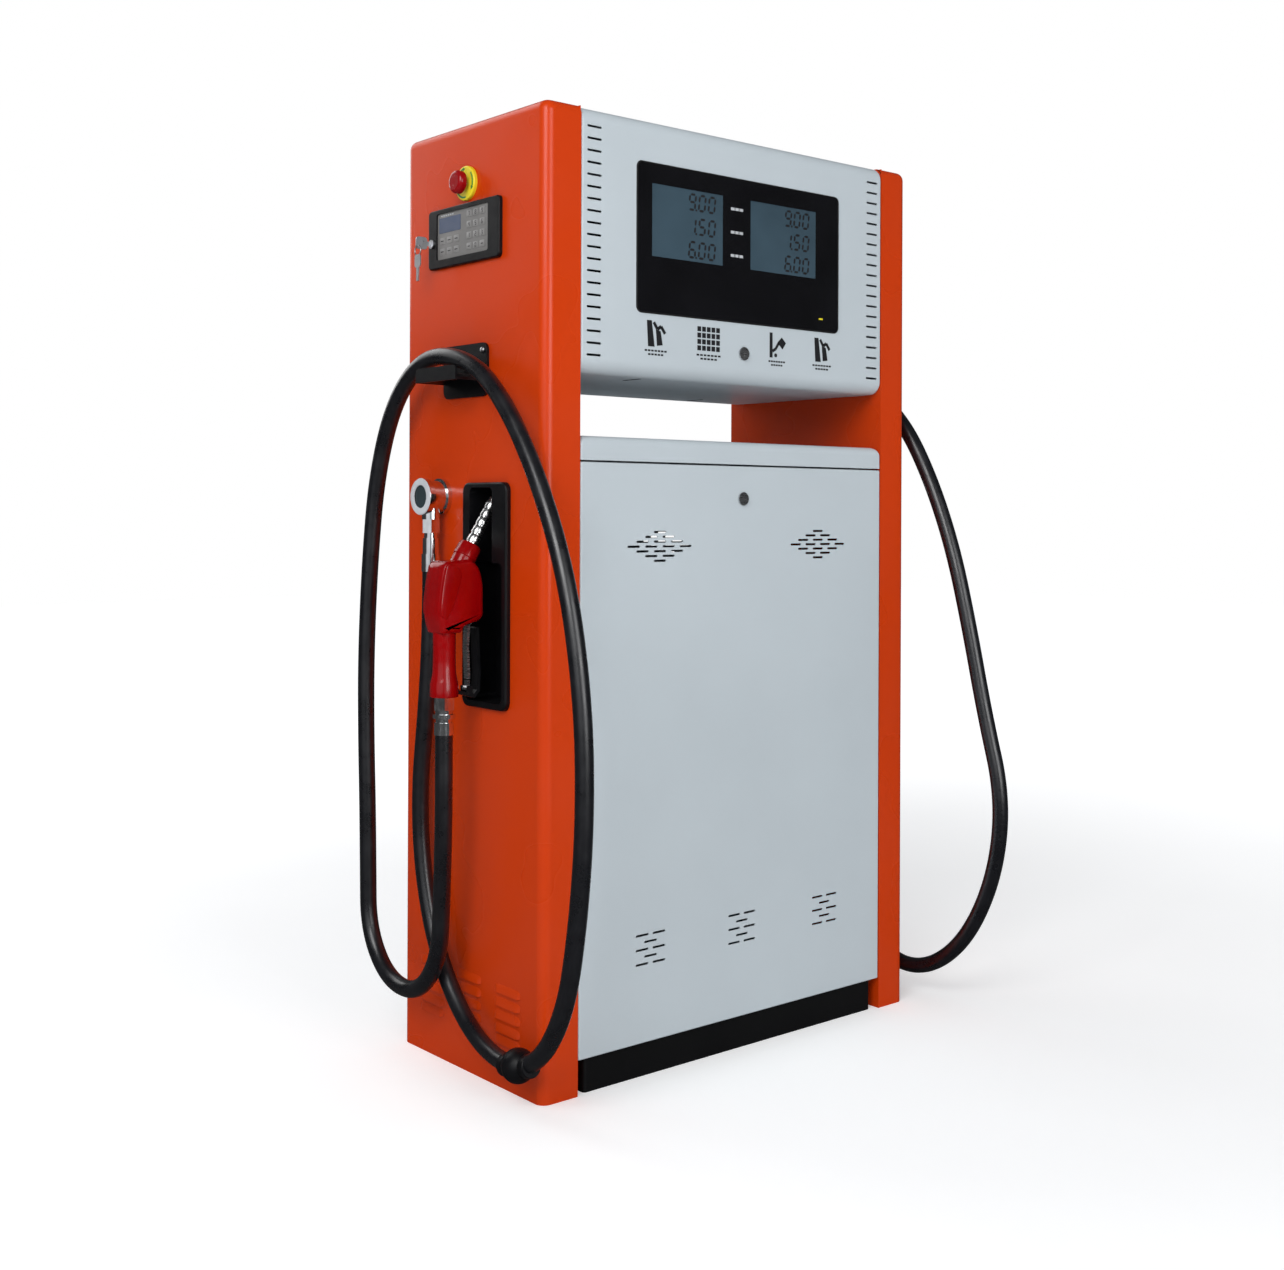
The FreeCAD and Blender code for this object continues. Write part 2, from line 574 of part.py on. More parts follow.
def stop_head():
    """Red mushroom head that turns on the stem."""
    under = LEFT - 7 - STOP_TRAVEL - 1
    head = rod(MUSHROOM_DIAMETER / 2, V(under - 15, STOP_Y, STOP_Z), V(under, STOP_Y, STOP_Z))
    outer = [edge for edge in head.Edges if edge.BoundBox.XMax < under - 14]
    head = head.makeFillet(7.0, outer)
    inner = [edge for edge in head.Edges
             if edge.BoundBox.XMin > under - 1 and isinstance(edge.Curve, Part.Circle)]
    head = head.makeFillet(2.0, inner)
    return head.cut(rod(STOP_STEM_RADIUS + RUNNING, V(under + 1, STOP_Y, STOP_Z),
                        V(LEFT - 18 - RUNNING, STOP_Y, STOP_Z)))


def keypad_bezel():
    bezel = box(LEFT - KEYPAD_OUT, LEFT, KEYPAD_Y0, KEYPAD_Y1, KEYPAD_Z0, KEYPAD_Z1)
    bezel = rounded(bezel, 8.0, V(1, 0, 0))
    outer = [edge for edge in bezel.Edges if edge.BoundBox.XMax < LEFT - KEYPAD_OUT + 1]
    bezel = bezel.makeFillet(2.5, outer)
    opening = rounded_box(LEFT - KEYPAD_OUT - 1, LEFT + 1, PANEL_Y0, PANEL_Y1, PANEL_Z0, PANEL_Z1,
                          4.0, V(1, 0, 0))
    bore = rod(KEY_RADIUS + RUNNING, V(LEFT - KEYPAD_OUT - 1, KEY_Y, KEY_Z), V(LEFT + 1, KEY_Y, KEY_Z))
    return without(bezel, [opening, bore])


def keypad_panel():
    """Sealed key panel with its board box behind the pillar's skin."""
    face = LEFT
    panel = rounded_box(face - 5, face, PANEL_Y0, PANEL_Y1, PANEL_Z0, PANEL_Z1, 4.0, V(1, 0, 0))
    board = box(face, face + 30, PANEL_Y0 + 9, PANEL_Y1 - 9, PANEL_Z0 + 9, PANEL_Z1 - 9)
    return fused([panel, board])


def keypad_key():
    """Lock barrel with its key and a spare on the same ring, hanging down."""
    x = LEFT - KEYPAD_OUT
    barrel = rod(KEY_RADIUS, V(x - 3, KEY_Y, KEY_Z), V(LEFT + 22, KEY_Y, KEY_Z))
    blade = box(x - 12, x - 2, KEY_Y - 1, KEY_Y + 1, KEY_Z - 4, KEY_Z + 4)
    bow = rounded_box(x - 34, x - 11, KEY_Y - 1.2, KEY_Y + 1.2, KEY_Z - 11, KEY_Z + 11, 6.0, V(0, 1, 0))
    loop = Part.makeTorus(9, 0.9, V(x - 30, KEY_Y, KEY_Z - 14), V(1, 0, 0))
    spare = rounded_box(x - 31, x - 28.6, KEY_Y - 9, KEY_Y + 9, KEY_Z - 44, KEY_Z - 21, 5.0, V(1, 0, 0))
    shaft = box(x - 31, x - 28.6, KEY_Y - 3.5, KEY_Y + 3.5, KEY_Z - 68, KEY_Z - 42)
    return fused([barrel, blade, bow, loop, spare, shaft])


def hose_hook():
    """Bent saddle plate on a wall plate; its lip keeps the hose from sliding off."""
    plate = box(LEFT - HOOK_PLATE, LEFT, HOOK_Y0, HOOK_Y1, HOOK_Z0, HOOK_Z1)
    plate = rounded(plate, 14.0, V(1, 0, 0))
    middle = (HOOK_Y0 + HOOK_Y1) / 2
    centre_z = HOOK_TOP - HOOK_RADIUS
    a, b = V(LEFT - HOOK_OUT, middle, centre_z), V(LEFT - 1, middle, centre_z)
    saddle = ring(HOOK_RADIUS, HOOK_RADIUS - HOOK_PLATE, a, b)
    saddle = saddle.common(box(LEFT - HOOK_OUT, LEFT - 1, HOOK_Y0 + 5, HOOK_Y1 - 5, HOOK_Z0, HOOK_Z1))
    lip = box(LEFT - HOOK_OUT, LEFT - HOOK_OUT + HOOK_PLATE, HOOK_Y0 + 5, HOOK_Y1 - 5,
              HOOK_TOP - HOOK_LIP_DROP, HOOK_TOP + HOOK_LIP_RISE)
    lip = rounded(lip, HOOK_LIP_RISE - 1, V(1, 0, 0), lambda p: p.z > HOOK_TOP)
    return fused([plate, saddle, lip])


def nozzle_boot():
    """Black moulded holder set into the pillar; the spout goes up its narrow top."""
    back = LEFT + BOOT_DEPTH
    flange = rounded_box(LEFT - BOOT_LIP, LEFT, BOOT_Y0, BOOT_Y1, BOOT_Z0, BOOT_Z1, 16.0, V(1, 0, 0))
    outer = [edge for edge in flange.Edges if edge.BoundBox.XMax < LEFT - BOOT_LIP + 1]
    flange = flange.makeFillet(4.0, outer)
    y0, y1 = BOOT_Y0 + BOOT_RIM + 0.5, BOOT_Y1 - BOOT_RIM - 0.5
    z0, z1 = BOOT_Z0 + BOOT_RIM + 0.5, BOOT_Z1 - BOOT_RIM - 0.5
    tub = box(LEFT - 1, back, y0, y1, z0, z1)
    low = rounded_box(LEFT - BOOT_LIP - 1, back - BOOT_WALL, y0 + BOOT_WALL, y1 - BOOT_WALL,
                      z0 + BOOT_WALL, BOOT_THROAT_BOTTOM, 10.0, V(1, 0, 0))
    high = rounded_box(LEFT - BOOT_LIP - 1, back - BOOT_WALL, NOZZLE_Y - BOOT_THROAT_HALF,
                       NOZZLE_Y + BOOT_THROAT_HALF, BOOT_THROAT_BOTTOM - 40, z1 - BOOT_WALL + 3,
                       10.0, V(1, 0, 0))
    return without(fused([flange, tub]), [low, high])


def sight_glass_body():
    """Polished barrel with its outlet boss underneath and the nut the hose swivel hangs from."""
    a, b = V(LEFT - GLASS_OUT, GLASS_Y, GLASS_Z), V(LEFT, GLASS_Y, GLASS_Z)
    barrel = rod(GLASS_DIAMETER / 2 - 4, a, b)
    rim = rod(GLASS_DIAMETER / 2, a, V(LEFT - GLASS_OUT + 12, GLASS_Y, GLASS_Z))
    rim = rim.makeFillet(2.0, [e for e in rim.Edges if e.BoundBox.XMax < LEFT - GLASS_OUT + 1])
    foot = rod(GLASS_DIAMETER / 2, V(LEFT - 8, GLASS_Y, GLASS_Z), b)
    boss = rod(16.0, V(LEFT - OUTLET_OUT, OUTLET_Y, GLASS_Z), V(LEFT - OUTLET_OUT, OUTLET_Y, GLASS_Z - 40))
    seat = rod(GLASS_DIAMETER / 2 - 8, V(LEFT - GLASS_OUT - 1, GLASS_Y, GLASS_Z),
               V(LEFT - GLASS_OUT + 6, GLASS_Y, GLASS_Z))
    return fused([barrel, rim, foot, boss]).cut(seat)


def sight_glass():
    start = V(LEFT - GLASS_OUT + 2, GLASS_Y, GLASS_Z)
    return rod(GLASS_DIAMETER / 2 - 8, start, V(LEFT - GLASS_OUT + 6, GLASS_Y, GLASS_Z))


def hexagon(radius, x, y, z0, z1):
    """Hexagonal nut along Z; radius is over its corners."""
    corners = [V(x + radius * math.cos(math.radians(60 * step)),
                 y + radius * math.sin(math.radians(60 * step)), z0) for step in range(7)]
    return Part.Face(Part.makePolygon(corners)).extrude(V(0, 0, z1 - z0))


def stacked(x, y, steps):
    """Round steps along Z from (radius, bottom, top) entries."""
    return [rod(radius, V(x, y, z0), V(x, y, z1)) for radius, z0, z1 in steps]


def hose_coupling():
    """Nut, swivel and ferrule between the sight glass and the hose."""
    x, y, top = LEFT - OUTLET_OUT, OUTLET_Y, GLASS_Z - 40
    nut = hexagon(17.0, x, y, top - 24, top)
    steps = [(12.0, top - 34, top - 23), (14.5, top - 62, top - 33),
             (16.5, COUPLING_BOTTOM, top - 61)]
    return fused([nut] + stacked(x, y, steps))


# ---------------------------------------------------------------- nozzle
SPOUT_BASE = V(LEFT - 30.0, NOZZLE_Y, 915.0)
LEAN = math.radians(SPOUT_LEAN)
SPOUT_AXIS = V(math.sin(LEAN), 0, math.cos(LEAN))
HANDLE_X = LEFT - HANDLE_OUT
COVER_Z0, COVER_Z1 = 776.0, 890.0
COVER_X0, COVER_X1 = LEFT - 109.0, LEFT - 19.0
COVER_HALF_Y = 28.0
CAST_RADIUS = 15.0
SPOUT_ROOT_RADIUS = 13.0
NECK_RADIUS = 19.0
STUB_RADIUS = 9.0
GUARD_HALF_Y = 9.0
LEVER_HALF_Y = 6.0
LEVER_PIVOT = V(LEFT - 36.0, NOZZLE_Y, 786.0)
LEVER_PIN_RADIUS = 2.5
LATCH_PIVOT = V(LEFT - 37.0, NOZZLE_Y, 672.0)


def nozzle_spout():
    """Spout, the casting it screws into and the stub the swivel turns on: one rigid piece."""
    tip = SPOUT_BASE + SPOUT_AXIS * SPOUT_LENGTH
    spout = rod(SPOUT_DIAMETER / 2, SPOUT_BASE - SPOUT_AXIS * 2, tip)
    bend = V(LEFT - 62.0, NOZZLE_Y, 838.0)
    casting = [rod(SPOUT_ROOT_RADIUS, SPOUT_BASE - SPOUT_AXIS * 23, SPOUT_BASE),
               rod(CAST_RADIUS, SPOUT_BASE - SPOUT_AXIS * 22, bend),
               Part.makeSphere(CAST_RADIUS, bend),
               rod(CAST_RADIUS, bend, V(HANDLE_X, NOZZLE_Y, 800.0)),
               Part.makeSphere(CAST_RADIUS, V(HANDLE_X, NOZZLE_Y, 800.0)),
               rod(CAST_RADIUS, V(HANDLE_X, NOZZLE_Y, 800.0), V(HANDLE_X, NOZZLE_Y, SWIVEL_TOP)),
               rod(STUB_RADIUS, V(HANDLE_X, NOZZLE_Y, SWIVEL_TOP + 1),
                   V(HANDLE_X, NOZZLE_Y, SWIVEL_TOP - 22))]
    bore = rod(SPOUT_BORE / 2, tip - SPOUT_AXIS * (SPOUT_LENGTH - 8), tip + SPOUT_AXIS)
    return fused([spout] + casting).cut(bore)


def nozzle_cover():
    """Red moulded cover over the casting, with the hand grip below and the neck above."""
    block = box(COVER_X0, COVER_X1, NOZZLE_Y - COVER_HALF_Y, NOZZLE_Y + COVER_HALF_Y,
                COVER_Z0, COVER_Z1)
    block = rounded(block, 26.0, V(0, 1, 0), lambda p: p.x < COVER_X0 + 1 and p.z > COVER_Z0 + 9)
    block = rounded(block, 14.0, V(0, 1, 0), lambda p: p.x > COVER_X1 - 1 and p.z < COVER_Z0 + 9)
    block = block.makeFillet(9.0, [e for e in block.Edges
                                   if e.BoundBox.YLength < 0.01])
    grip = rod(HANDLE_DIAMETER / 2, V(HANDLE_X, NOZZLE_Y, SWIVEL_TOP), V(HANDLE_X, NOZZLE_Y, 800.0))
    neck = rod(NECK_RADIUS, SPOUT_BASE - SPOUT_AXIS * 50, SPOUT_BASE)
    cavity = nozzle_spout()
    cover = fused([block, grip, neck]).cut(cavity)
    hollow = rod(CAST_RADIUS, SPOUT_BASE - SPOUT_AXIS * 23, SPOUT_BASE - SPOUT_AXIS * 0.5)
    solids = sorted(cover.cut(hollow).Solids, key=lambda solid: solid.Volume)
    cover = solids[-1]
    lever_slot = box(LEVER_PIVOT.x - 16, COVER_X1 + 1, NOZZLE_Y - LEVER_HALF_Y - 1,
                     NOZZLE_Y + LEVER_HALF_Y + 1, COVER_Z0 - 1, LEVER_PIVOT.z + 12)
    pin_a = V(LEVER_PIVOT.x, NOZZLE_Y - LEVER_HALF_Y - 5, LEVER_PIVOT.z)
    pin_b = V(LEVER_PIVOT.x, NOZZLE_Y + LEVER_HALF_Y + 5, LEVER_PIVOT.z)
    return cover.cut(lever_slot).fuse(rod(LEVER_PIN_RADIUS, pin_a, pin_b))


def strip(points, thickness, half_width):
    """Flat bar along straight runs in the nozzle's plane, with round corners."""
    shapes = []
    for start, end in zip(points, points[1:]):
        a, b = V(start[0], NOZZLE_Y, start[1]), V(end[0], NOZZLE_Y, end[1])
        along = (b - a).normalize()
        side = V(-along.z, 0, along.x) * (thickness / 2)
        low = V(0, -half_width, 0)
        corners = [a + side + low, b + side + low, b - side + low, a - side + low, a + side + low]
        shapes.append(Part.Face(Part.makePolygon(corners)).extrude(V(0, 2 * half_width, 0)))
    for x, z in points:
        shapes.append(rod(thickness / 2, V(x, NOZZLE_Y - half_width, z), V(x, NOZZLE_Y + half_width, z)))
    return fused(shapes)


def nozzle_guard():
    """Black hand guard: a loop in front of the lever, clamped round the foot of the grip."""
    x = LEFT
    loop = strip([(x - 21, 773), (x - 17, 700), (x - 19, 668), (x - 27, 659),
                  (x - 60, 668), (HANDLE_X + HANDLE_DIAMETER / 2 + 3, 670)], 6.0, GUARD_HALF_Y)
    clamp = ring(HANDLE_DIAMETER / 2 + 4, HANDLE_DIAMETER / 2,
                 V(HANDLE_X, NOZZLE_Y, SWIVEL_TOP + 1), V(HANDLE_X, NOZZLE_Y, SWIVEL_TOP + 20))
    ears = [box(LATCH_PIVOT.x - 6, LATCH_PIVOT.x + 6, NOZZLE_Y + sign * GUARD_HALF_Y - 1,
                NOZZLE_Y + sign * GUARD_HALF_Y + 1, 661.0, LATCH_PIVOT.z + 5) for sign in (-1, 1)]
    pin = rod(LEVER_PIN_RADIUS, V(LATCH_PIVOT.x, NOZZLE_Y - GUARD_HALF_Y, LATCH_PIVOT.z),
              V(LATCH_PIVOT.x, NOZZLE_Y + GUARD_HALF_Y, LATCH_PIVOT.z))
    return fused([loop, clamp, pin] + ears)


def nozzle_lever():
    """Trigger lever that hangs from its pin inside the guard."""
    x = LEFT
    bar = strip([(LEVER_PIVOT.x, LEVER_PIVOT.z), (x - 39, 745), (x - 36, 690)], 5.0, LEVER_HALF_Y)
    hub = rod(6.0, V(LEVER_PIVOT.x, NOZZLE_Y - LEVER_HALF_Y, LEVER_PIVOT.z),
              V(LEVER_PIVOT.x, NOZZLE_Y + LEVER_HALF_Y, LEVER_PIVOT.z))
    hole = rod(LEVER_PIN_RADIUS + RUNNING, V(LEVER_PIVOT.x, NOZZLE_Y - 20, LEVER_PIVOT.z),
               V(LEVER_PIVOT.x, NOZZLE_Y + 20, LEVER_PIVOT.z))
    return fused([bar, hub]).cut(hole)


def nozzle_latch():
    """Small catch on the guard that holds the lever while filling."""
    p = LATCH_PIVOT
    hub = rod(5.0, V(p.x, NOZZLE_Y - 7.5, p.z), V(p.x, NOZZLE_Y + 7.5, p.z))
    finger = box(p.x - 1.5, p.x + 3.5, NOZZLE_Y - 5, NOZZLE_Y + 5, p.z, p.z + 14)
    hole = rod(LEVER_PIN_RADIUS + RUNNING, V(p.x, NOZZLE_Y - 20, p.z), V(p.x, NOZZLE_Y + 20, p.z))
    return fused([hub, finger]).cut(hole)


def nozzle_swivel():
    """Swivel joint at the foot of the grip: nut, flange ring and hose end."""
    x, y = HANDLE_X, NOZZLE_Y
    nut = hexagon(19.0, x, y, SWIVEL_TOP - 22, SWIVEL_TOP - SOFT_GAP)
    steps = [(15.0, SWIVEL_TOP - 30, SWIVEL_TOP - 21), (19.0, SWIVEL_TOP - 36, SWIVEL_TOP - 29),
             (14.0, SWIVEL_TOP - 44, SWIVEL_TOP - 35), (16.5, SWIVEL_BOTTOM, SWIVEL_TOP - 43)]
    bore = rod(STUB_RADIUS + RUNNING, V(x, y, SWIVEL_TOP - 22 - SOFT_GAP), V(x, y, SWIVEL_TOP + 1))
    return fused([nut] + stacked(x, y, steps)).cut(bore)


# ---------------------------------------------------------------- pumping and metering set
DRIVE_Z = 190.0
MOTOR_X, PUMP_X = 170.0, -130.0
BELT_Y = -100.0
BELT_HALF_WIDTH = 8.0
BELT_THICK = 7.0
PULLEY_WEB = 13.0              # half width of a pulley
SHAFT_RADIUS = 11.0
METER_X, METER_Y = 235.0, -20.0
METER_SHAFT_RADIUS = 5.0
VALVE_Z = 820.0
PIPE_RADIUS = 13.0
PUMP_OUTLET_Y = -20.0
PUMP_OUTLET_Z = DRIVE_Z + 130.0
MANIFOLD_Z = 560.0


def motor():
    """Motor with its feet and terminal box; the pulley turns on its shaft stub."""
    a, b = V(MOTOR_X, -70, DRIVE_Z), V(MOTOR_X, 150, DRIVE_Z)
    shell = rod(80.0, a, b)
    ribs = [rod(86.0, V(MOTOR_X, y, DRIVE_Z), V(MOTOR_X, y + 4, DRIVE_Z)) for y in range(-50, 140, 12)]
    terminal = box(MOTOR_X - 40, MOTOR_X + 40, 0, 80, DRIVE_Z + 70, DRIVE_Z + 118)
    feet = [box(MOTOR_X - 85, MOTOR_X + 85, y, y + 40, BASE_PLATE, BASE_PLATE + 10) for y in (-50, 90)]
    legs = [box(MOTOR_X + x - 8, MOTOR_X + x + 8, y, y + 40, BASE_PLATE, DRIVE_Z)
            for x in (-60, 60) for y in (-50, 90)]
    stub = rod(SHAFT_RADIUS, V(MOTOR_X, BELT_Y - PULLEY_WEB, DRIVE_Z), a)
    return fused([shell, terminal, stub] + ribs + feet + legs)


def pump():
    """Vane pump with its air separator bowl; the pulley turns on its shaft stub."""
    x = PUMP_X
    block = rounded_box(x - 95, x + 95, -60, 150, DRIVE_Z - 90, DRIVE_Z + 100, 20.0, V(0, 0, 1))
    nose = rod(42.0, V(x, -78, DRIVE_Z), V(x, -59, DRIVE_Z))
    stub = rod(SHAFT_RADIUS, V(x, BELT_Y - PULLEY_WEB, DRIVE_Z), V(x, -77, DRIVE_Z))
    bowl = rod(60.0, V(x, 60, DRIVE_Z + 99), V(x, 60, DRIVE_Z + 180))
    base = box(x - 80, x + 80, -50, 70, BASE_PLATE, DRIVE_Z - 89)
    outlet = rod(24.0, V(x, PUMP_OUTLET_Y, DRIVE_Z + 99), V(x, PUMP_OUTLET_Y, PUMP_OUTLET_Z))
    return fused([block, nose, stub, bowl, base, outlet])


def pulley(x, radius):
    """Grooved pulley running on a shaft stub."""
    groove = radius - BELT_THICK - SOFT_GAP
    a, b = V(x, BELT_Y - PULLEY_WEB, DRIVE_Z), V(x, BELT_Y + PULLEY_WEB, DRIVE_Z)
    wheel = rod(radius, a, b)
    cut = ring(radius + 1, groove, V(x, BELT_Y - BELT_HALF_WIDTH - 1, DRIVE_Z),
               V(x, BELT_Y + BELT_HALF_WIDTH + 1, DRIVE_Z))
    holes = []
    for turn in range(5):
        angle = math.radians(72 * turn)
        place = (SHAFT_RADIUS + groove) / 2
        centre = V(x + place * math.cos(angle), 0, DRIVE_Z + place * math.sin(angle))
        size = (groove - SHAFT_RADIUS) / 4
        holes.append(rod(size, centre + V(0, BELT_Y - 20, 0), centre + V(0, BELT_Y + 20, 0)))
    bore = rod(SHAFT_RADIUS + RUNNING, V(x, BELT_Y - 30, DRIVE_Z), V(x, BELT_Y + 30, DRIVE_Z))
    return without(wheel, [cut, bore] + holes)


def belt_outline(extra):
    """Face of an open belt round both pulleys, grown by a distance from the grooves."""
    small = MOTOR_PULLEY_RADIUS - BELT_THICK + extra
    large = PUMP_PULLEY_RADIUS - BELT_THICK + extra
    lean = math.asin((large - small) / (MOTOR_X - PUMP_X))
    side = V(math.sin(lean), 0, math.cos(lean))
    flip = V(math.sin(lean), 0, -math.cos(lean))
    motor_c = V(MOTOR_X, BELT_Y - BELT_HALF_WIDTH, DRIVE_Z)
    pump_c = V(PUMP_X, BELT_Y - BELT_HALF_WIDTH, DRIVE_Z)
    top = Part.LineSegment(pump_c + side * large, motor_c + side * small)
    right = Part.Arc(motor_c + side * small, motor_c + V(small, 0, 0), motor_c + flip * small)
    bottom = Part.LineSegment(motor_c + flip * small, pump_c + flip * large)
    left = Part.Arc(pump_c + flip * large, pump_c - V(large, 0, 0), pump_c + side * large)
    return Part.Face(Part.Wire([top.toShape(), right.toShape(), bottom.toShape(), left.toShape()]))


def drive_belt():
    outer = belt_outline(BELT_THICK).extrude(V(0, 2 * BELT_HALF_WIDTH, 0))
    inner = belt_outline(0.0).extrude(V(0, 2 * BELT_HALF_WIDTH, 0))
    return outer.cut(inner)


def flow_meter():
    """Left meter: a drum on the shelf with its neck for the pulser shaft."""
    x, y = -METER_X, -METER_Y
    floor = SHELF_Z + POST_SHEET
    drum = rod(66.0, V(x, y, floor), V(x, y, floor + 90))
    lugs = [rod(16.0, V(x + 62 * math.cos(math.radians(a)), y + 62 * math.sin(math.radians(a)), floor),
                V(x + 62 * math.cos(math.radians(a)), y + 62 * math.sin(math.radians(a)), floor + 90))
            for a in (45, 135, 225, 315)]
    head = rod(38.0, V(x, y, floor + 89), V(x, y, floor + 118))
    bore = rod(METER_SHAFT_RADIUS + RUNNING, V(x, y, floor + 60), V(x, y, floor + 119))
    return fused([drum, head] + lugs).cut(bore)


def meter_shaft():
    """Meter shaft with the slotted disc that the pulser reads."""
    x, y = -METER_X, -METER_Y
    floor = SHELF_Z + POST_SHEET
    shaft = rod(METER_SHAFT_RADIUS, V(x, y, floor + 60 + SOFT_GAP), V(x, y, floor + 150))
    disc = rod(26.0, V(x, y, floor + 132), V(x, y, floor + 135))
    slots = []
    for turn in range(8):
        angle = math.radians(45 * turn)
        centre = V(x + 20 * math.cos(angle), y + 20 * math.sin(angle), 0)
        slots.append(rod(3.0, centre + V(0, 0, floor + 130), centre + V(0, 0, floor + 137)))
    return without(fused([shaft, disc]), slots)


VALVE_X, VALVE_Y = -300.0, 90.0


def solenoid_valve():
    """Left outlet valve: body in the riser with its coil on top."""
    body = box(VALVE_X - 25, VALVE_X + 25, VALVE_Y - 25, VALVE_Y + 25, VALVE_Z - 30, VALVE_Z + 25)
    coil = rod(20.0, V(VALVE_X + 24, VALVE_Y, VALVE_Z), V(VALVE_X + 75, VALVE_Y, VALVE_Z))
    return fused([body, coil])


def fuel_pipes():
    """Manifold from the pump to both meters; the left meter's outlet; the left riser."""
    floor = SHELF_Z + POST_SHEET
    outlet_z = floor + 45
    manifold = pipe([V(-METER_X, -METER_Y, floor), V(-METER_X, -METER_Y, MANIFOLD_Z),
                     V(PUMP_X, PUMP_OUTLET_Y, MANIFOLD_Z), V(METER_X, METER_Y, MANIFOLD_Z),
                     V(METER_X, METER_Y, floor)], PIPE_RADIUS)
    supply = rod(PIPE_RADIUS, V(PUMP_X, PUMP_OUTLET_Y, PUMP_OUTLET_Z),
                 V(PUMP_X, PUMP_OUTLET_Y, MANIFOLD_Z))
    low = pipe([V(-METER_X - 40, -METER_Y + 25, outlet_z), V(VALVE_X, VALVE_Y, outlet_z),
                V(VALVE_X, VALVE_Y, VALVE_Z - 30)], OUTLET_PIPE_RADIUS)
    high = pipe([V(VALVE_X, VALVE_Y, VALVE_Z + 25), V(VALVE_X, VALVE_Y, PIPE_CROSS_Z),
                 V(LEFT + 30, VALVE_Y, PIPE_CROSS_Z), V(LEFT + 30, VALVE_Y, GLASS_Z),
                 V(LEFT, VALVE_Y, GLASS_Z)], OUTLET_PIPE_RADIUS)
    low = low.cut(flow_meter())
    return [fused([manifold, supply]), low, high]


# ---------------------------------------------------------------- hoses
# Each route runs from the coupling round the ball, over the hook and back up to the nozzle:
# distance out from the pillar's face, then Y and Z, as on the left end.
LEFT_ROUTE = [
    (26, 86, 866), (26, 86, 765), (27, 97, 625), (28, 118, 470), (28, 104, 325), (28, 55, 195),
    (32, -40, 98), (38, -150, 62), (44, -260, 88), (48, -338, 190), (50, -372, 330),
    (50, -390, 500), (50, -384, 685), (50, -338, 885), (48, -240, 1065), (46, -130, 1190),
    (45, -30, 1238), (46, 82, 1242), (50, 172, 1170), (54, 224, 1040), (57, 243, 880),
    (59, 252, 710), (60, 249, 565), (60, 243, 440), (60, 240, 325), (61, 236, 210), (62, 166, 134),
    (64, 62, 132), (67, -10, 208), (72, -25, 325), (79, -40, 435), (82, -45, 522), (82, -45, 597)]
RIGHT_ROUTE = [
    (26, 86, 866), (26, 86, 770), (27, 92, 650), (28, 104, 520), (28, 98, 385), (28, 45, 250),
    (32, -60, 192), (38, -170, 203), (44, -250, 290), (48, -288, 425), (50, -300, 600),
    (50, -290, 760), (50, -262, 915), (48, -205, 1060), (46, -120, 1175),
    (45, -30, 1236), (46, 70, 1238), (50, 165, 1160), (54, 232, 1045), (57, 288, 905),
    (59, 328, 750), (60, 366, 580), (60, 410, 425), (60, 392, 270), (60, 322, 130),
    (61, 220, 52), (63, 115, 55), (66, 35, 150), (70, -10, 280), (78, -36, 405),
    (82, -45, 512), (82, -45, 597)]
BALL_RUN = 7                   # the ball sits in the middle of the run after this point


def hose_path(route):
    """Straight runs joined by tangent arcs, as large as the shorter run beside each allows."""
    points = [V(LEFT - out, y, z) for out, y, z in route]
    edges = []
    radii = []
    start = points[0]
    for before, corner, after in zip(points, points[1:], points[2:]):
        back = (before - corner)
        ahead = (after - corner)
        shorter = min(back.Length, ahead.Length)
        back.normalize()
        ahead.normalize()
        half_turn = (math.pi - back.getAngle(ahead)) / 2
        trim = 0.45 * shorter
        radius = trim / math.tan(half_turn)
        radii.append(round(radius))
        arc_start = corner + back * trim
        arc_end = corner + ahead * trim
        bisector = (back + ahead).normalize()
        middle = corner + bisector * (radius / math.cos(half_turn) - radius)
        edges.append(Part.LineSegment(start, arc_start).toShape())
        edges.append(Part.Arc(arc_start, middle, arc_end).toShape())
        start = arc_end
    edges.append(Part.LineSegment(start, points[-1]).toShape())
    wire = Part.Wire(edges)
    print("hose length", round(wire.Length), "smallest arcs", sorted(radii)[:5])
    return wire


def hose(route):
    """Solid tube along its route."""
    wire = hose_path(route)
    first = V(LEFT - route[0][0], route[0][1], route[0][2])
    second = V(LEFT - route[1][0], route[1][1], route[1][2])
    section = Part.Wire(Part.makeCircle(HOSE_DIAMETER / 2, first, second - first))
    tube = wire.makePipeShell([section], True, False)
    expected = math.pi * HOSE_DIAMETER ** 2 / 4 * wire.Length
    if abs(tube.Volume / expected - 1) > 0.01:
        raise ValueError("hose volume differs from its section times its length")
    return tube


def hose_ball(route, tube):
    """Split ball clamped round the hose, which keeps it off the ground."""
    out, y, z = [(a + b) / 2 for a, b in zip(route[BALL_RUN], route[BALL_RUN + 1])]
    return Part.makeSphere(BALL_DIAMETER / 2, V(LEFT - out, y, z)).cut(tube)


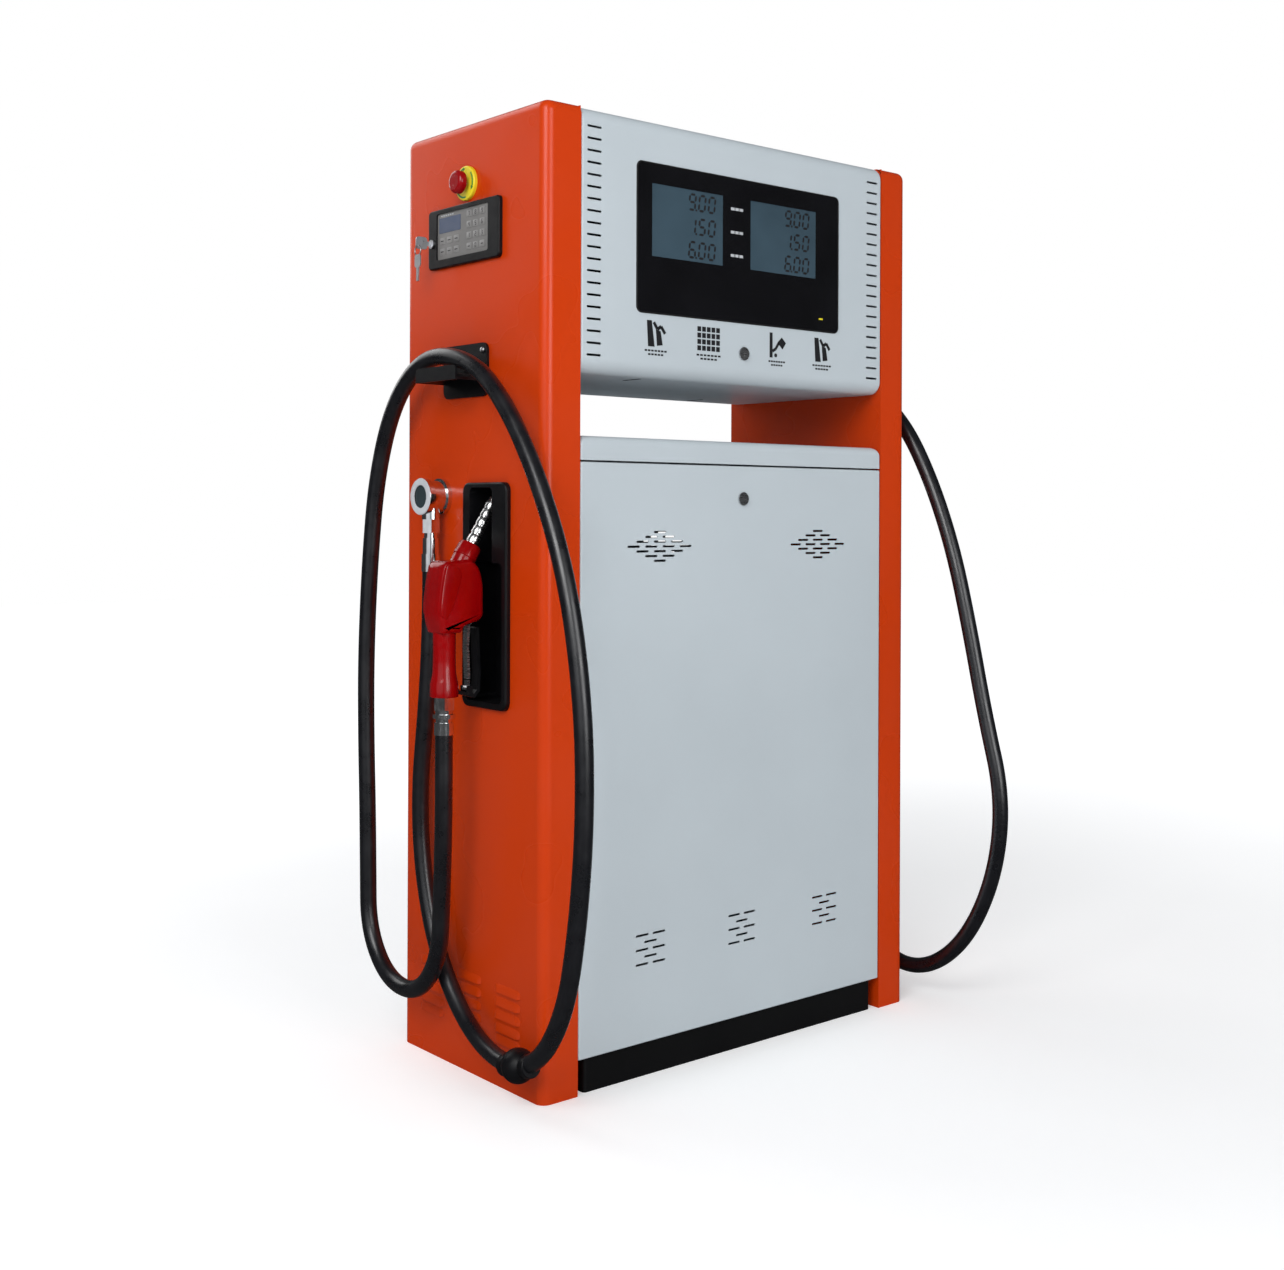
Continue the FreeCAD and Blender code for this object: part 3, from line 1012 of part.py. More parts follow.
def main():
    inner_wall = pillar_inner_wall()
    shell = pillar_shell()
    save("left_pillar", [shell, inner_wall])
    save("right_pillar", [turned(shell), turned(inner_wall)])
    save("inner_frame", [inner_frame()])
    save("plinth_panels", [plinth()])
    save("cabinet_top_cover", [top_cover()])
    save("head_case", [head_case()])
    save("electronics_boxes", electronics())
    save_both("estop_collars", stop_collar())
    save_both("keypad_bezels", keypad_bezel())
    save_both("keypad_panels", keypad_panel())
    save_both("hose_hooks", hose_hook())
    save_both("nozzle_boots", nozzle_boot())
    save_both("sight_glass_bodies", sight_glass_body())
    save_both("sight_glasses", sight_glass())
    save_both("hose_couplings", hose_coupling())

    save("motor_body", [motor()])
    save("pump_body", [pump()])
    save("drive_belt", [drive_belt()])
    save("motor_pulley", [pulley(MOTOR_X, MOTOR_PULLEY_RADIUS)])
    save("pump_pulley", [pulley(PUMP_X, PUMP_PULLEY_RADIUS)])
    manifold, low_pipe, high_pipe = fuel_pipes()
    save("fuel_pipes", [manifold, low_pipe, high_pipe, turned(low_pipe), turned(high_pipe)])
    save_both("flow_meters", flow_meter())
    save_ends("meter_shaft", meter_shaft())
    save_both("solenoid_valves", solenoid_valve())

    save_faces("display_door", [display_door()])
    save_faces("display_window", [display_window()])
    save_faces("display_lcds", [lcd(LCD_LEFT), lcd(LCD_RIGHT)])
    save_faces("head_lock", [cam_lock(HEAD_LOCK_Z, HEAD_LOCK_DEPTH)])
    save_faces("cabinet_door", [cabinet_door()])
    save_faces("cabinet_lock", [cam_lock(CABINET_LOCK_Z, CABINET_LOCK_DEPTH)])

    save_ends("estop_stem", stop_stem())
    save_ends("estop_head", stop_head())
    save_ends("keypad_key", keypad_key())
    save_ends("nozzle_spout", nozzle_spout())
    save_ends("nozzle_cover", nozzle_cover())
    save_ends("nozzle_guard", nozzle_guard())
    save_ends("nozzle_lever", nozzle_lever())
    save_ends("nozzle_latch", nozzle_latch())
    save_ends("nozzle_swivel", nozzle_swivel())

    left_tube = hose(LEFT_ROUTE)
    right_tube = hose(RIGHT_ROUTE)
    save("left_hose", [left_tube])
    save("left_hose_ball", [hose_ball(LEFT_ROUTE, left_tube)])
    save("right_hose", [turned(right_tube)])
    save("right_hose_ball", [turned(hose_ball(RIGHT_ROUTE, right_tube))])


main()
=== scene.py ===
"""Two-sided fuel dispenser: finishes, hoses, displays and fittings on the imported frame."""
import math

import bmesh
import bpy
from bpy.props import FloatProperty, FloatVectorProperty, IntProperty, PointerProperty
from mathutils import Matrix, Vector


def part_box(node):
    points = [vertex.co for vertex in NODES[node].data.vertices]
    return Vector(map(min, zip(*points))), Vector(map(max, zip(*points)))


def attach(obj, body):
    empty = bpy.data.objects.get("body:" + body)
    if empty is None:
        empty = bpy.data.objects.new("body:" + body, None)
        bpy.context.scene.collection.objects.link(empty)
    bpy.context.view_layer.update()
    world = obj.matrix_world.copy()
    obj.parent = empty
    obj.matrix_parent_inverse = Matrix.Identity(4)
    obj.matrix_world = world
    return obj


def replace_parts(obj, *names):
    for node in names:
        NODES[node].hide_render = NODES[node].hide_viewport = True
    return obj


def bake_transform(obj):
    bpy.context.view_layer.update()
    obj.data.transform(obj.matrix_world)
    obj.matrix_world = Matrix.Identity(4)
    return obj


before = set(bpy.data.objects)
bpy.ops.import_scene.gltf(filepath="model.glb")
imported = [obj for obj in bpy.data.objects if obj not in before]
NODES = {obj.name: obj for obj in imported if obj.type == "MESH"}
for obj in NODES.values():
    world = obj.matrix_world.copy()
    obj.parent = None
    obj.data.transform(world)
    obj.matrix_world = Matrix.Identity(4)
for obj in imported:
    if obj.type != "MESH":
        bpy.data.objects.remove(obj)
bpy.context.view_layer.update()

bl_info = {
    "name": "Fuel Dispenser Looks",
    "version": (1, 0, 0),
    "blender": (4, 5, 0),
    "location": "View3D > Sidebar > Dispenser",
    "description": "Builds the hoses, displays, nozzles and finishes of a two-sided fuel dispenser",
    "category": "Object",
}

LEFT_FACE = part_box("left_pillar")[0].x
FRONT_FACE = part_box("front_cabinet_door")[0].y
UP = Vector((0, 0, 1))
MM = 0.001
HALF_TURN = Matrix.Rotation(math.pi, 4, "Z")


# ------------------------------------------------------------------ settings
class FinishSettings(bpy.types.PropertyGroup):
    """Colours of the main finishes."""
    pillar_colour: FloatVectorProperty(
        name="Pillar paint", description="Colour of both end pillars", subtype="COLOR",
        size=3, min=0, max=1, default=(0.56, 0.041, 0.0015))
    panel_colour: FloatVectorProperty(
        name="Panel paint", description="Colour of the head, doors and top cover", subtype="COLOR",
        size=3, min=0, max=1, default=(0.487, 0.54, 0.572))
    cover_colour: FloatVectorProperty(
        name="Nozzle cover", description="Colour of the nozzle's moulded cover", subtype="COLOR",
        size=3, min=0, max=1, default=(0.265, 0.0004, 0.0012))
    button_colour: FloatVectorProperty(
        name="Stop button", description="Colour of the emergency-stop head", subtype="COLOR",
        size=3, min=0, max=1, default=(0.25, 0.002, 0.004))
    collar_colour: FloatVectorProperty(
        name="Stop collar", description="Colour of the ring round the stop button",
        subtype="COLOR", size=3, min=0, max=1, default=(0.75, 0.62, 0.02))
    display_colour: FloatVectorProperty(
        name="Display", description="Colour of the unlit display glass", subtype="COLOR",
        size=3, min=0, max=1, default=(0.042, 0.073, 0.097))


class HoseSettings(bpy.types.PropertyGroup):
    """Size and smoothness of the hoses."""
    diameter: FloatProperty(
        name="Diameter", description="Outer diameter of a hose", unit="LENGTH",
        min=0.02, max=0.05, default=0.030)
    sides: IntProperty(
        name="Sides", description="Faces round a hose", min=12, max=64, default=28)
    ball_diameter: FloatProperty(
        name="Ball diameter", description="Diameter of the ball on each hose", unit="LENGTH",
        min=0.04, max=0.08, default=0.057)


class DisplaySettings(bpy.types.PropertyGroup):
    """Sizes of what the display doors show."""
    digit_height: FloatProperty(
        name="Digit height", description="Height of the display digits", unit="LENGTH",
        min=0.01, max=0.04, default=0.027)
    digit_lean: FloatProperty(
        name="Digit lean", description="Slant of the display digits", subtype="ANGLE",
        min=0, max=0.4, default=0.12)
    pictogram_height: FloatProperty(
        name="Pictogram height", description="Height of the printed pictograms", unit="LENGTH",
        min=0.02, max=0.08, default=0.046)


SETTINGS = (FinishSettings, HoseSettings, DisplaySettings)


# ------------------------------------------------------------------ node helpers
def material(name):
    """Make a material; returns its tree and its shader."""
    made = bpy.data.materials.new(name)
    made.use_nodes = True
    return made.node_tree, made.node_tree.nodes["Principled BSDF"]


def place(tree, stretch=(1, 1, 1)):
    """Object coordinates, stretched to give a finish its direction."""
    coordinates = tree.nodes.new("ShaderNodeTexCoord")
    mapping = tree.nodes.new("ShaderNodeMapping")
    mapping.inputs["Scale"].default_value = stretch
    tree.links.new(coordinates.outputs["Object"], mapping.inputs["Vector"])
    return mapping.outputs["Vector"]


def noise(tree, vector, scale, detail, roughness=0.55):
    """Cloudy texture."""
    node = tree.nodes.new("ShaderNodeTexNoise")
    node.inputs["Scale"].default_value = scale
    node.inputs["Detail"].default_value = detail
    node.inputs["Roughness"].default_value = roughness
    tree.links.new(vector, node.inputs["Vector"])
    return node.outputs["Fac"]


def cells(tree, vector, scale):
    """Cell texture, for moulded grain."""
    node = tree.nodes.new("ShaderNodeTexVoronoi")
    node.inputs["Scale"].default_value = scale
    tree.links.new(vector, node.inputs["Vector"])
    return node.outputs["Distance"]


def ramp(tree, value, stops):
    """Colour ramp from (position, colour) stops."""
    node = tree.nodes.new("ShaderNodeValToRGB")
    elements = node.color_ramp.elements
    while len(elements) < len(stops):
        elements.new(0.5)
    for element, (position, colour) in zip(elements, stops):
        element.position = position
        element.color = (*colour, 1)
    tree.links.new(value, node.inputs["Fac"])
    return node.outputs["Color"]


def spread(tree, value, low, high, start=0.3, end=0.7):
    """Map a texture value to a range."""
    node = tree.nodes.new("ShaderNodeMapRange")
    node.interpolation_type = "SMOOTHSTEP"
    node.inputs["From Min"].default_value = start
    node.inputs["From Max"].default_value = end
    node.inputs["To Min"].default_value = low
    node.inputs["To Max"].default_value = high
    tree.links.new(value, node.inputs["Value"])
    return node.outputs["Result"]


def bump(tree, shader, height, strength, distance, before=None):
    """Raise a finish by a texture, over an earlier bump if there is one."""
    node = tree.nodes.new("ShaderNodeBump")
    node.inputs["Strength"].default_value = strength
    node.inputs["Distance"].default_value = distance
    tree.links.new(height, node.inputs["Height"])
    if before is not None:
        tree.links.new(before, node.inputs["Normal"])
    tree.links.new(node.outputs["Normal"], shader.inputs["Normal"])
    return node.outputs["Normal"]


def tint(tree, shader, value, colour, dark, light, start=0.3, end=0.7):
    """Colour a finish from a darker to a lighter shade of one colour."""
    stops = [(position, tuple(min(1.0, channel * factor) for channel in colour))
             for position, factor in ((start, dark), (end, light))]
    tree.links.new(ramp(tree, value, stops), shader.inputs["Base Color"])


def polish(tree, shader, value, low, high):
    """Vary a finish's roughness between two values."""
    tree.links.new(spread(tree, value, low, high), shader.inputs["Roughness"])


def constant(shader, **values):
    """Set plain values on the shader's own sockets."""
    for name, value in values.items():
        shader.inputs[name.replace("_", " ")].default_value = value


# ------------------------------------------------------------------ finishes
def powder_coat(name, colour, roughness=0.28, peel=0.05):
    """Baked paint on sheet steel: faint orange peel and a soft gloss coat."""
    tree, shader = material(name)
    vector = place(tree)
    tint(tree, shader, noise(tree, vector, 2.3, 3), colour, 0.95, 1.04, 0.25, 0.75)
    polish(tree, shader, noise(tree, vector, 5, 2), roughness - 0.04, roughness + 0.08)
    bump(tree, shader, noise(tree, vector, 180, 1), peel, 0.00004)
    constant(shader, Coat_Weight=0.1, Coat_Roughness=0.14, Specular_IOR_Level=0.22)


def moulded(name, colour, roughness, grain=900, depth=0.25):
    """Moulded plastic or rubber with a fine cell grain."""
    tree, shader = material(name)
    vector = place(tree)
    tint(tree, shader, noise(tree, vector, 9, 4), colour, 0.82, 1.2)
    polish(tree, shader, noise(tree, vector, 40, 5), roughness - 0.07, roughness + 0.1)
    bump(tree, shader, cells(tree, vector, grain), depth, 0.0002)
    constant(shader, Specular_IOR_Level=0.24)


def metal(name, colour, roughness, stretch=(1, 1, 1), streak=260, depth=0.1, dull=0.12):
    """Bare or plated metal; a stretched grain gives turned and brushed faces."""
    tree, shader = material(name)
    grain = noise(tree, place(tree, stretch), streak, 5, 0.65)
    tint(tree, shader, noise(tree, place(tree), 35, 5), colour, 0.84, 1.06, 0.3, 0.72)
    polish(tree, shader, grain, roughness - 0.03, roughness + dull)
    bump(tree, shader, grain, depth, 0.0002)
    constant(shader, Metallic=1.0)


def hose_rubber(name):
    """Black rubber cover with the faint spiral print of its cloth wrap and a worn sheen."""
    tree, shader = material(name)
    vector = place(tree)
    dust = noise(tree, vector, 26, 6, 0.6)
    stops = [(0.35, (0.004, 0.0042, 0.006)), (0.68, (0.006, 0.0065, 0.009)),
             (0.9, (0.02, 0.021, 0.024))]
    tree.links.new(ramp(tree, dust, stops), shader.inputs["Base Color"])
    polish(tree, shader, dust, 0.24, 0.40)
    wrap = tree.nodes.new("ShaderNodeTexWave")
    wrap.inputs["Scale"].default_value = 95
    wrap.inputs["Distortion"].default_value = 1.2
    tree.links.new(vector, wrap.inputs["Vector"])
    first = bump(tree, shader, wrap.outputs["Fac"], 0.06, 0.0003)
    bump(tree, shader, noise(tree, vector, 700, 3), 0.12, 0.0002, first)
    constant(shader, Specular_IOR_Level=0.55, Coat_Weight=0.25, Coat_Roughness=0.3)


def display_glass(name, colour):
    """Reflective liquid-crystal panel behind glass, a little uneven from edge to edge."""
    tree, shader = material(name)
    vector = place(tree)
    tint(tree, shader, noise(tree, vector, 7, 2), colour, 0.86, 1.1)
    polish(tree, shader, noise(tree, vector, 60, 4), 0.16, 0.26)
    constant(shader, Coat_Weight=0.5, Coat_Roughness=0.03, Specular_IOR_Level=0.4)


def dark_glass(name, colour, roughness=0.06):
    """Smoked glass with faint upright smears."""
    tree, shader = material(name)
    tint(tree, shader, noise(tree, place(tree), 12, 3), colour, 0.8, 1.25)
    smears = noise(tree, place(tree, (1, 1, 0.35)), 22, 6)
    polish(tree, shader, smears, roughness, roughness + 0.08)
    constant(shader, Coat_Weight=0.45, Coat_Roughness=0.02, Specular_IOR_Level=0.3)


def clear_plastic(name, colour, roughness):
    """Glossy solid-coloured plastic with fine handling marks."""
    tree, shader = material(name)
    vector = place(tree)
    tint(tree, shader, noise(tree, vector, 16, 5), colour, 0.88, 1.1)
    polish(tree, shader, noise(tree, vector, 120, 6), roughness - 0.04, roughness + 0.09)
    bump(tree, shader, noise(tree, vector, 160, 3), 0.05, 0.0003)
    constant(shader, Coat_Weight=0.3, Coat_Roughness=0.07, Specular_IOR_Level=0.25)


def finishes():
    """Every finish of the dispenser, made once."""
    if "pillar orange" in bpy.data.materials:
        return bpy.data.materials
    colours = bpy.context.scene.dispenser_finish
    powder_coat("pillar orange", colours.pillar_colour)
    powder_coat("panel white", colours.panel_colour, 0.34, 0.04)
    powder_coat("plinth black", (0.003, 0.003, 0.0035), 0.5, 0.1)
    powder_coat("casting blue grey", (0.07, 0.11, 0.16), 0.4, 0.4)
    powder_coat("box grey", (0.24, 0.25, 0.26), 0.4, 0.3)
    powder_coat("pipe primer", (0.2, 0.05, 0.03), 0.45, 0.2)
    moulded("black moulding", (0.0035, 0.0035, 0.0045), 0.4)
    moulded("seal rubber", (0.008, 0.008, 0.008), 0.6, 1400)
    moulded("belt rubber", (0.012, 0.012, 0.012), 0.62, 600)
    moulded("key film", (0.17, 0.165, 0.16), 0.36, 1600, 0.15)
    moulded("key pad", (0.21, 0.205, 0.20), 0.35, 1600, 0.15)
    moulded("print black", (0.012, 0.012, 0.014), 0.5, 1200, 0.1)
    moulded("print grey", (0.45, 0.47, 0.49), 0.5, 1200, 0.1)
    moulded("print white", (0.72, 0.74, 0.75), 0.5, 1200, 0.1)
    moulded("print green", (0.03, 0.22, 0.05), 0.45, 1200, 0.1)
    clear_plastic("nozzle red", colours.cover_colour, 0.16)
    clear_plastic("button red", colours.button_colour, 0.2)
    clear_plastic("collar yellow", colours.collar_colour, 0.3)
    dark_glass("window black", (0.004, 0.004, 0.005))
    dark_glass("sight glass", (0.03, 0.045, 0.05), 0.03)
    display_glass("display", colours.display_colour)
    display_glass("small display", (0.085, 0.105, 0.16))
    hose_rubber("hose rubber")
    metal("polished chrome", (0.78, 0.79, 0.80), 0.1, (1, 1, 0.2), 180, 0.04, 0.1)
    metal("turned steel", (0.60, 0.60, 0.61), 0.24, (0.15, 0.15, 3), 320)
    metal("zinc plate", (0.58, 0.59, 0.61), 0.3)
    metal("galvanised sheet", (0.52, 0.53, 0.55), 0.38, (1, 1, 1), 60, 0.15)
    metal("cast aluminium", (0.66, 0.66, 0.66), 0.42, (1, 1, 1), 420, 0.5)
    metal("bright spout", (0.80, 0.80, 0.80), 0.2, (1, 1, 4), 260)
    return bpy.data.materials


NODE_FINISHES = {
    "pillar orange": ["left_pillar", "right_pillar"],
    "panel white": ["cabinet_top_cover", "head_case", "front_display_door", "rear_display_door",
                    "front_cabinet_door", "rear_cabinet_door"],
    "plinth black": ["plinth_panels"],
    "galvanised sheet": ["inner_frame"],
    "box grey": ["electronics_boxes"],
    "casting blue grey": ["motor_body", "pump_body"],
    "pipe primer": ["fuel_pipes"],
    "cast aluminium": ["flow_meters"],
    "belt rubber": ["drive_belt"],
    "zinc plate": ["solenoid_valves", "motor_pulley", "pump_pulley", "left_meter_shaft",
                   "right_meter_shaft", "left_estop_stem", "right_estop_stem",
                   "left_keypad_key", "right_keypad_key"],
    "turned steel": ["front_head_lock", "rear_head_lock", "front_cabinet_lock",
                     "rear_cabinet_lock", "left_nozzle_lever", "right_nozzle_lever",
                     "left_nozzle_latch", "right_nozzle_latch"],
    "polished chrome": ["sight_glass_bodies", "hose_couplings", "left_nozzle_swivel",
                        "right_nozzle_swivel"],
    "sight glass": ["sight_glasses"],
    "collar yellow": ["estop_collars"],
    "button red": ["left_estop_head", "right_estop_head"],
    "black moulding": ["keypad_bezels", "hose_hooks", "nozzle_boots", "left_nozzle_guard",
                       "right_nozzle_guard", "left_hose_ball", "right_hose_ball"],
    "key film": ["keypad_panels"],
    "window black": ["front_display_window", "rear_display_window"],
    "display": ["front_display_lcds", "rear_display_lcds"],
    "nozzle red": ["left_nozzle_cover", "right_nozzle_cover"],
    "bright spout": ["left_nozzle_spout", "right_nozzle_spout"],
}


# ------------------------------------------------------------------ mesh helpers
def turned(point):
    """The same place on the opposite end or face."""
    return Vector((-point[0], -point[1], point[2]))


def add_object(name, mesh, finish, body, smooth=True):
    """Link a mesh as a piece that rides on a body."""
    piece = bpy.data.objects.new(name, mesh)
    bpy.context.scene.collection.objects.link(piece)
    mesh.materials.append(finishes()[finish])
    if smooth:
        mesh.shade_smooth()
        mesh.set_sharp_from_angle(angle=math.radians(32))
    if body:
        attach(piece, body)
    return piece


def finished(name, shape, finish, body, opposite=False, smooth=True):
    """Turn a bmesh into a piece, for this end or the opposite one."""
    if opposite:
        bmesh.ops.transform(shape, matrix=HALF_TURN, verts=shape.verts)
    bmesh.ops.recalc_face_normals(shape, faces=shape.faces)
    mesh = bpy.data.meshes.new(name)
    shape.to_mesh(mesh)
    shape.free()
    return add_object(name, mesh, finish, body, smooth)


def on_end(out, y, z):
    """A place on the left end: millimetres out from the pillar's face, then Y and Z."""
    return Vector((LEFT_FACE - out * MM, y * MM, z * MM))


def in_metres(profile):
    return [(first * MM, second * MM) for first, second in profile]


def add_loft(shape, loops, closed_ends=True, loop_closed=False):
    """Skin between rings of points of equal count."""
    rings = [[shape.verts.new(point) for point in loop] for loop in loops]
    pairs = list(zip(rings, rings[1:]))
    if loop_closed:
        pairs.append((rings[-1], rings[0]))
    for ring_a, ring_b in pairs:
        count = len(ring_a)
        for index in range(count):
            after = (index + 1) % count
            shape.faces.new((ring_a[index], ring_a[after], ring_b[after], ring_b[index]))
    if closed_ends and not loop_closed:
        shape.faces.new(rings[0][::-1])
        shape.faces.new(rings[-1])


def circle(centre, normal, radius, sides, start=None):
    """Points round a circle; start fixes where the first one lies."""
    normal = Vector(normal).normalized()
    across = Vector(start) if start is not None else normal.orthogonal()
    across = (across - normal * across.dot(normal)).normalized()
    other = normal.cross(across)
    return [Vector(centre) + across * radius * math.cos(2 * math.pi * step / sides)
            + other * radius * math.sin(2 * math.pi * step / sides) for step in range(sides)]


def add_turning(shape, base, axis, profile, sides=48, closed_ends=True):
    """Surface of revolution: profile holds (distance along the axis, radius)."""
    axis = Vector(axis).normalized()
    start = axis.orthogonal()
    loops = [circle(Vector(base) + axis * along, axis, max(radius, 1e-5), sides, start)
             for along, radius in profile]
    add_loft(shape, loops, closed_ends)


def add_box(shape, low, high, bevel=0.0):
    """Box between two corners, with its edges rounded over."""
    low, high = Vector(low), Vector(high)
    made = bmesh.ops.create_cube(shape, size=1)
    size = high - low
    matrix = Matrix.Translation((low + high) / 2) @ Matrix.Diagonal((*size, 1))
    bmesh.ops.transform(shape, matrix=matrix, verts=made["verts"])
    if bevel:
        edges = {edge for vert in made["verts"] for edge in vert.link_edges}
        bmesh.ops.bevel(shape, geom=list(edges), offset=bevel, segments=3, affect="EDGES",
                        profile=0.6)


def add_hoop(shape, path, radius, start):
    """Round bead along a closed path; start fixes where each ring's first point lies."""
    rings = [circle(point, path[(index + 1) % len(path)] - path[index - 1], radius, 8, start)
             for index, point in enumerate(path)]
    add_loft(shape, rings, loop_closed=True)


def add_prism(shape, outline, offset):
    """Flat outline pushed along an offset."""
    low = [shape.verts.new(point) for point in outline]
    high = [shape.verts.new(Vector(point) + Vector(offset)) for point in outline]
    count = len(low)
    for index in range(count):
        after = (index + 1) % count
        shape.faces.new((low[index], low[after], high[after], high[index]))
    shape.faces.new(low[::-1])
    shape.faces.new(high)


def tube_rings(path, radius_at, sides):
    """Rings along a path that don't twist; radius_at takes the distance along it."""
    rings = []
    across = None
    travelled = 0.0
    for index, point in enumerate(path):
        before = path[max(index - 1, 0)]
        after = path[min(index + 1, len(path) - 1)]
        direction = (after - before).normalized()
        if across is None:
            across = direction.orthogonal()
        across = (across - direction * across.dot(direction)).normalized()
        if index:
            travelled += (point - path[index - 1]).length
        rings.append(circle(point, direction, radius_at(travelled), sides, across))
    return rings


# ------------------------------------------------------------------ hoses
# Places on the left end, as on_end takes them.
LEFT_ROUTE = [
    (26, 86, 866), (26, 86, 765), (27, 97, 625), (28, 118, 470), (28, 104, 325), (28, 55, 195),
    (32, -40, 98), (38, -150, 62), (44, -260, 88), (48, -338, 190), (50, -372, 330),
    (50, -390, 500), (50, -384, 685), (50, -338, 885), (48, -240, 1065), (46, -130, 1190),
    (45, -30, 1238), (46, 82, 1242), (50, 172, 1170), (54, 224, 1040), (57, 243, 880),
    (59, 252, 710), (60, 249, 565), (60, 243, 440), (60, 240, 325), (61, 236, 210), (62, 166, 134),
    (64, 62, 132), (67, -10, 208), (72, -25, 325), (79, -40, 435), (82, -45, 522), (82, -45, 597)]
RIGHT_ROUTE = [
    (26, 86, 866), (26, 86, 770), (27, 92, 650), (28, 104, 520), (28, 98, 385), (28, 45, 250),
    (32, -60, 192), (38, -170, 203), (44, -250, 290), (48, -288, 425), (50, -300, 600),
    (50, -290, 760), (50, -262, 915), (48, -205, 1060), (46, -120, 1175),
    (45, -30, 1236), (46, 70, 1238), (50, 165, 1160), (54, 232, 1045), (57, 288, 905),
    (59, 328, 750), (60, 366, 580), (60, 410, 425), (60, 392, 270), (60, 322, 130),
    (61, 220, 52), (63, 115, 55), (66, 35, 150), (70, -10, 280), (78, -36, 405),
    (82, -45, 512), (82, -45, 597)]
BALL_RUN = 7


def route_points(route, opposite):
    points = [on_end(*place_on) for place_on in route]
    return [turned(point) for point in points] if opposite else points


def smooth_line(points):
    """The route's own smooth line, read from its spline."""
    curve = bpy.data.curves.new("route", "CURVE")
    curve.dimensions = "3D"
    curve.resolution_u = 14
    spline = curve.splines.new("NURBS")
    spline.points.add(len(points) - 1)
    for control, point in zip(spline.points, points):
        control.co = (*point, 1)
    spline.order_u = 3
    spline.use_endpoint_u = True
    holder = bpy.data.objects.new("route", curve)
    bpy.context.scene.collection.objects.link(holder)
    bpy.context.view_layer.update()
    line = bpy.data.meshes.new_from_object(holder)
    path = [vert.co.copy() for vert in line.vertices]
    bpy.data.objects.remove(holder)
    bpy.data.curves.remove(curve)
    bpy.data.meshes.remove(line)
    return path


def nearest_index(path, point):
    return min(range(len(path)), key=lambda index: (path[index] - point).length)


class DISPENSER_OT_hoses(bpy.types.Operator):
    """Build both hoses with the ball that keeps each off the ground"""
    bl_idname = "dispenser.hoses"
    bl_label = "Hoses"

    def execute(self, context):
        settings = context.scene.dispenser_hose
        for end, route in (("left", LEFT_ROUTE), ("right", RIGHT_ROUTE)):
            opposite = end == "right"
            points = route_points(route, opposite)
            path = smooth_line(points)
            hose = self.hose(context, end, path, settings)
            ball = self.ball(end, path, points, settings)
            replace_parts(hose, end + "_hose")
        return {"FINISHED"}

    def hose(self, context, end, path, settings):
        """Tube made in two lofts, split at its lowest point on the last rise up to the nozzle, then
        joined back into one piece.
        """
        radius = settings.diameter / 2
        rings = tube_rings(path, lambda along: radius, settings.sides)
        last_quarter = range(len(path) * 3 // 4, len(path))
        foot = min(last_quarter, key=lambda index: path[index].z)
        loop = self.tube(end + "_hose_loop", rings[:foot + 1])
        hose = self.tube(end + "_hose_tube", rings[foot:])
        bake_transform(hose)
        with context.temp_override(active_object=hose, selected_editable_objects=[hose, loop]):
            bpy.ops.object.join()
        return hose

    def tube(self, name, rings):
        shape = bmesh.new()
        add_loft(shape, rings)
        return finished(name, shape, "hose rubber", None)

    def ball(self, end, path, points, settings):
        """Ball in two halves clamped over the hose, with a collar at each side."""
        middle = (points[BALL_RUN] + points[BALL_RUN + 1]) / 2
        index = nearest_index(path, middle)
        axis = (path[index + 1] - path[index - 1]).normalized()
        radius = settings.ball_diameter / 2
        bore = settings.diameter / 2
        profile = [(-0.041, bore + 0.0002), (-0.041, bore + 0.0022), (-0.0395, bore + 0.0034),
                   (-0.028, bore + 0.0042)]
        for step in range(-10, 11):
            angle = math.radians(step * 5.4)
            seam = 0.0009 if step == 0 else 0.0
            profile.append((radius * math.sin(angle), radius * math.cos(angle) - seam))
        profile += [(0.028, bore + 0.0042), (0.0395, bore + 0.0034), (0.041, bore + 0.0022),
                    (0.041, bore + 0.0002)]
        shape = bmesh.new()
        add_turning(shape, middle, axis, profile, 48)
        ball = finished(end + "_hose_ball_halves", shape, "black moulding", "root")
        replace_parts(ball, end + "_hose_ball")
        return ball


# ------------------------------------------------------------------ casings
class DISPENSER_OT_casings(bpy.types.Operator):
    """Give every part of the frame its finish"""
    bl_idname = "dispenser.casings"
    bl_label = "Casings and internals"

    def execute(self, context):
        made = finishes()
        for finish, nodes in NODE_FINISHES.items():
            for node in nodes:
                mesh = NODES[node].data
                mesh.materials.clear()
                mesh.materials.append(made[finish])
        return {"FINISHED"}


# ------------------------------------------------------------------ stage
# Name, place, width in metres and power in watts of each soft light.
LIGHTS = (("key", (-3.8, -2.2, 3.2), 2.4, 125), ("front", (-0.5, -5.4, 2.0), 2.6, 95),
          ("back", (-1.0, 3.8, 3.2), 3.0, 60))
LIGHT_AIM = Vector((0, 0, 0.85))
VIEW_PLACE = (-1.9873, -2.2960, 0.9720)
VIEW_TURN = math.radians(-40.03)
VIEW_ROLL = math.radians(0.224)
FOCAL_LENGTH = 44.42
VIEW_SHIFT = -0.0956
ROOM_GLOW = 0.42
PANEL_GLOW = 0.8
# Directions of the two bright panels that metal and glass reflect.
PANELS = ((-0.93, -0.36, 0.1), (-0.12, -0.98, 0.15))


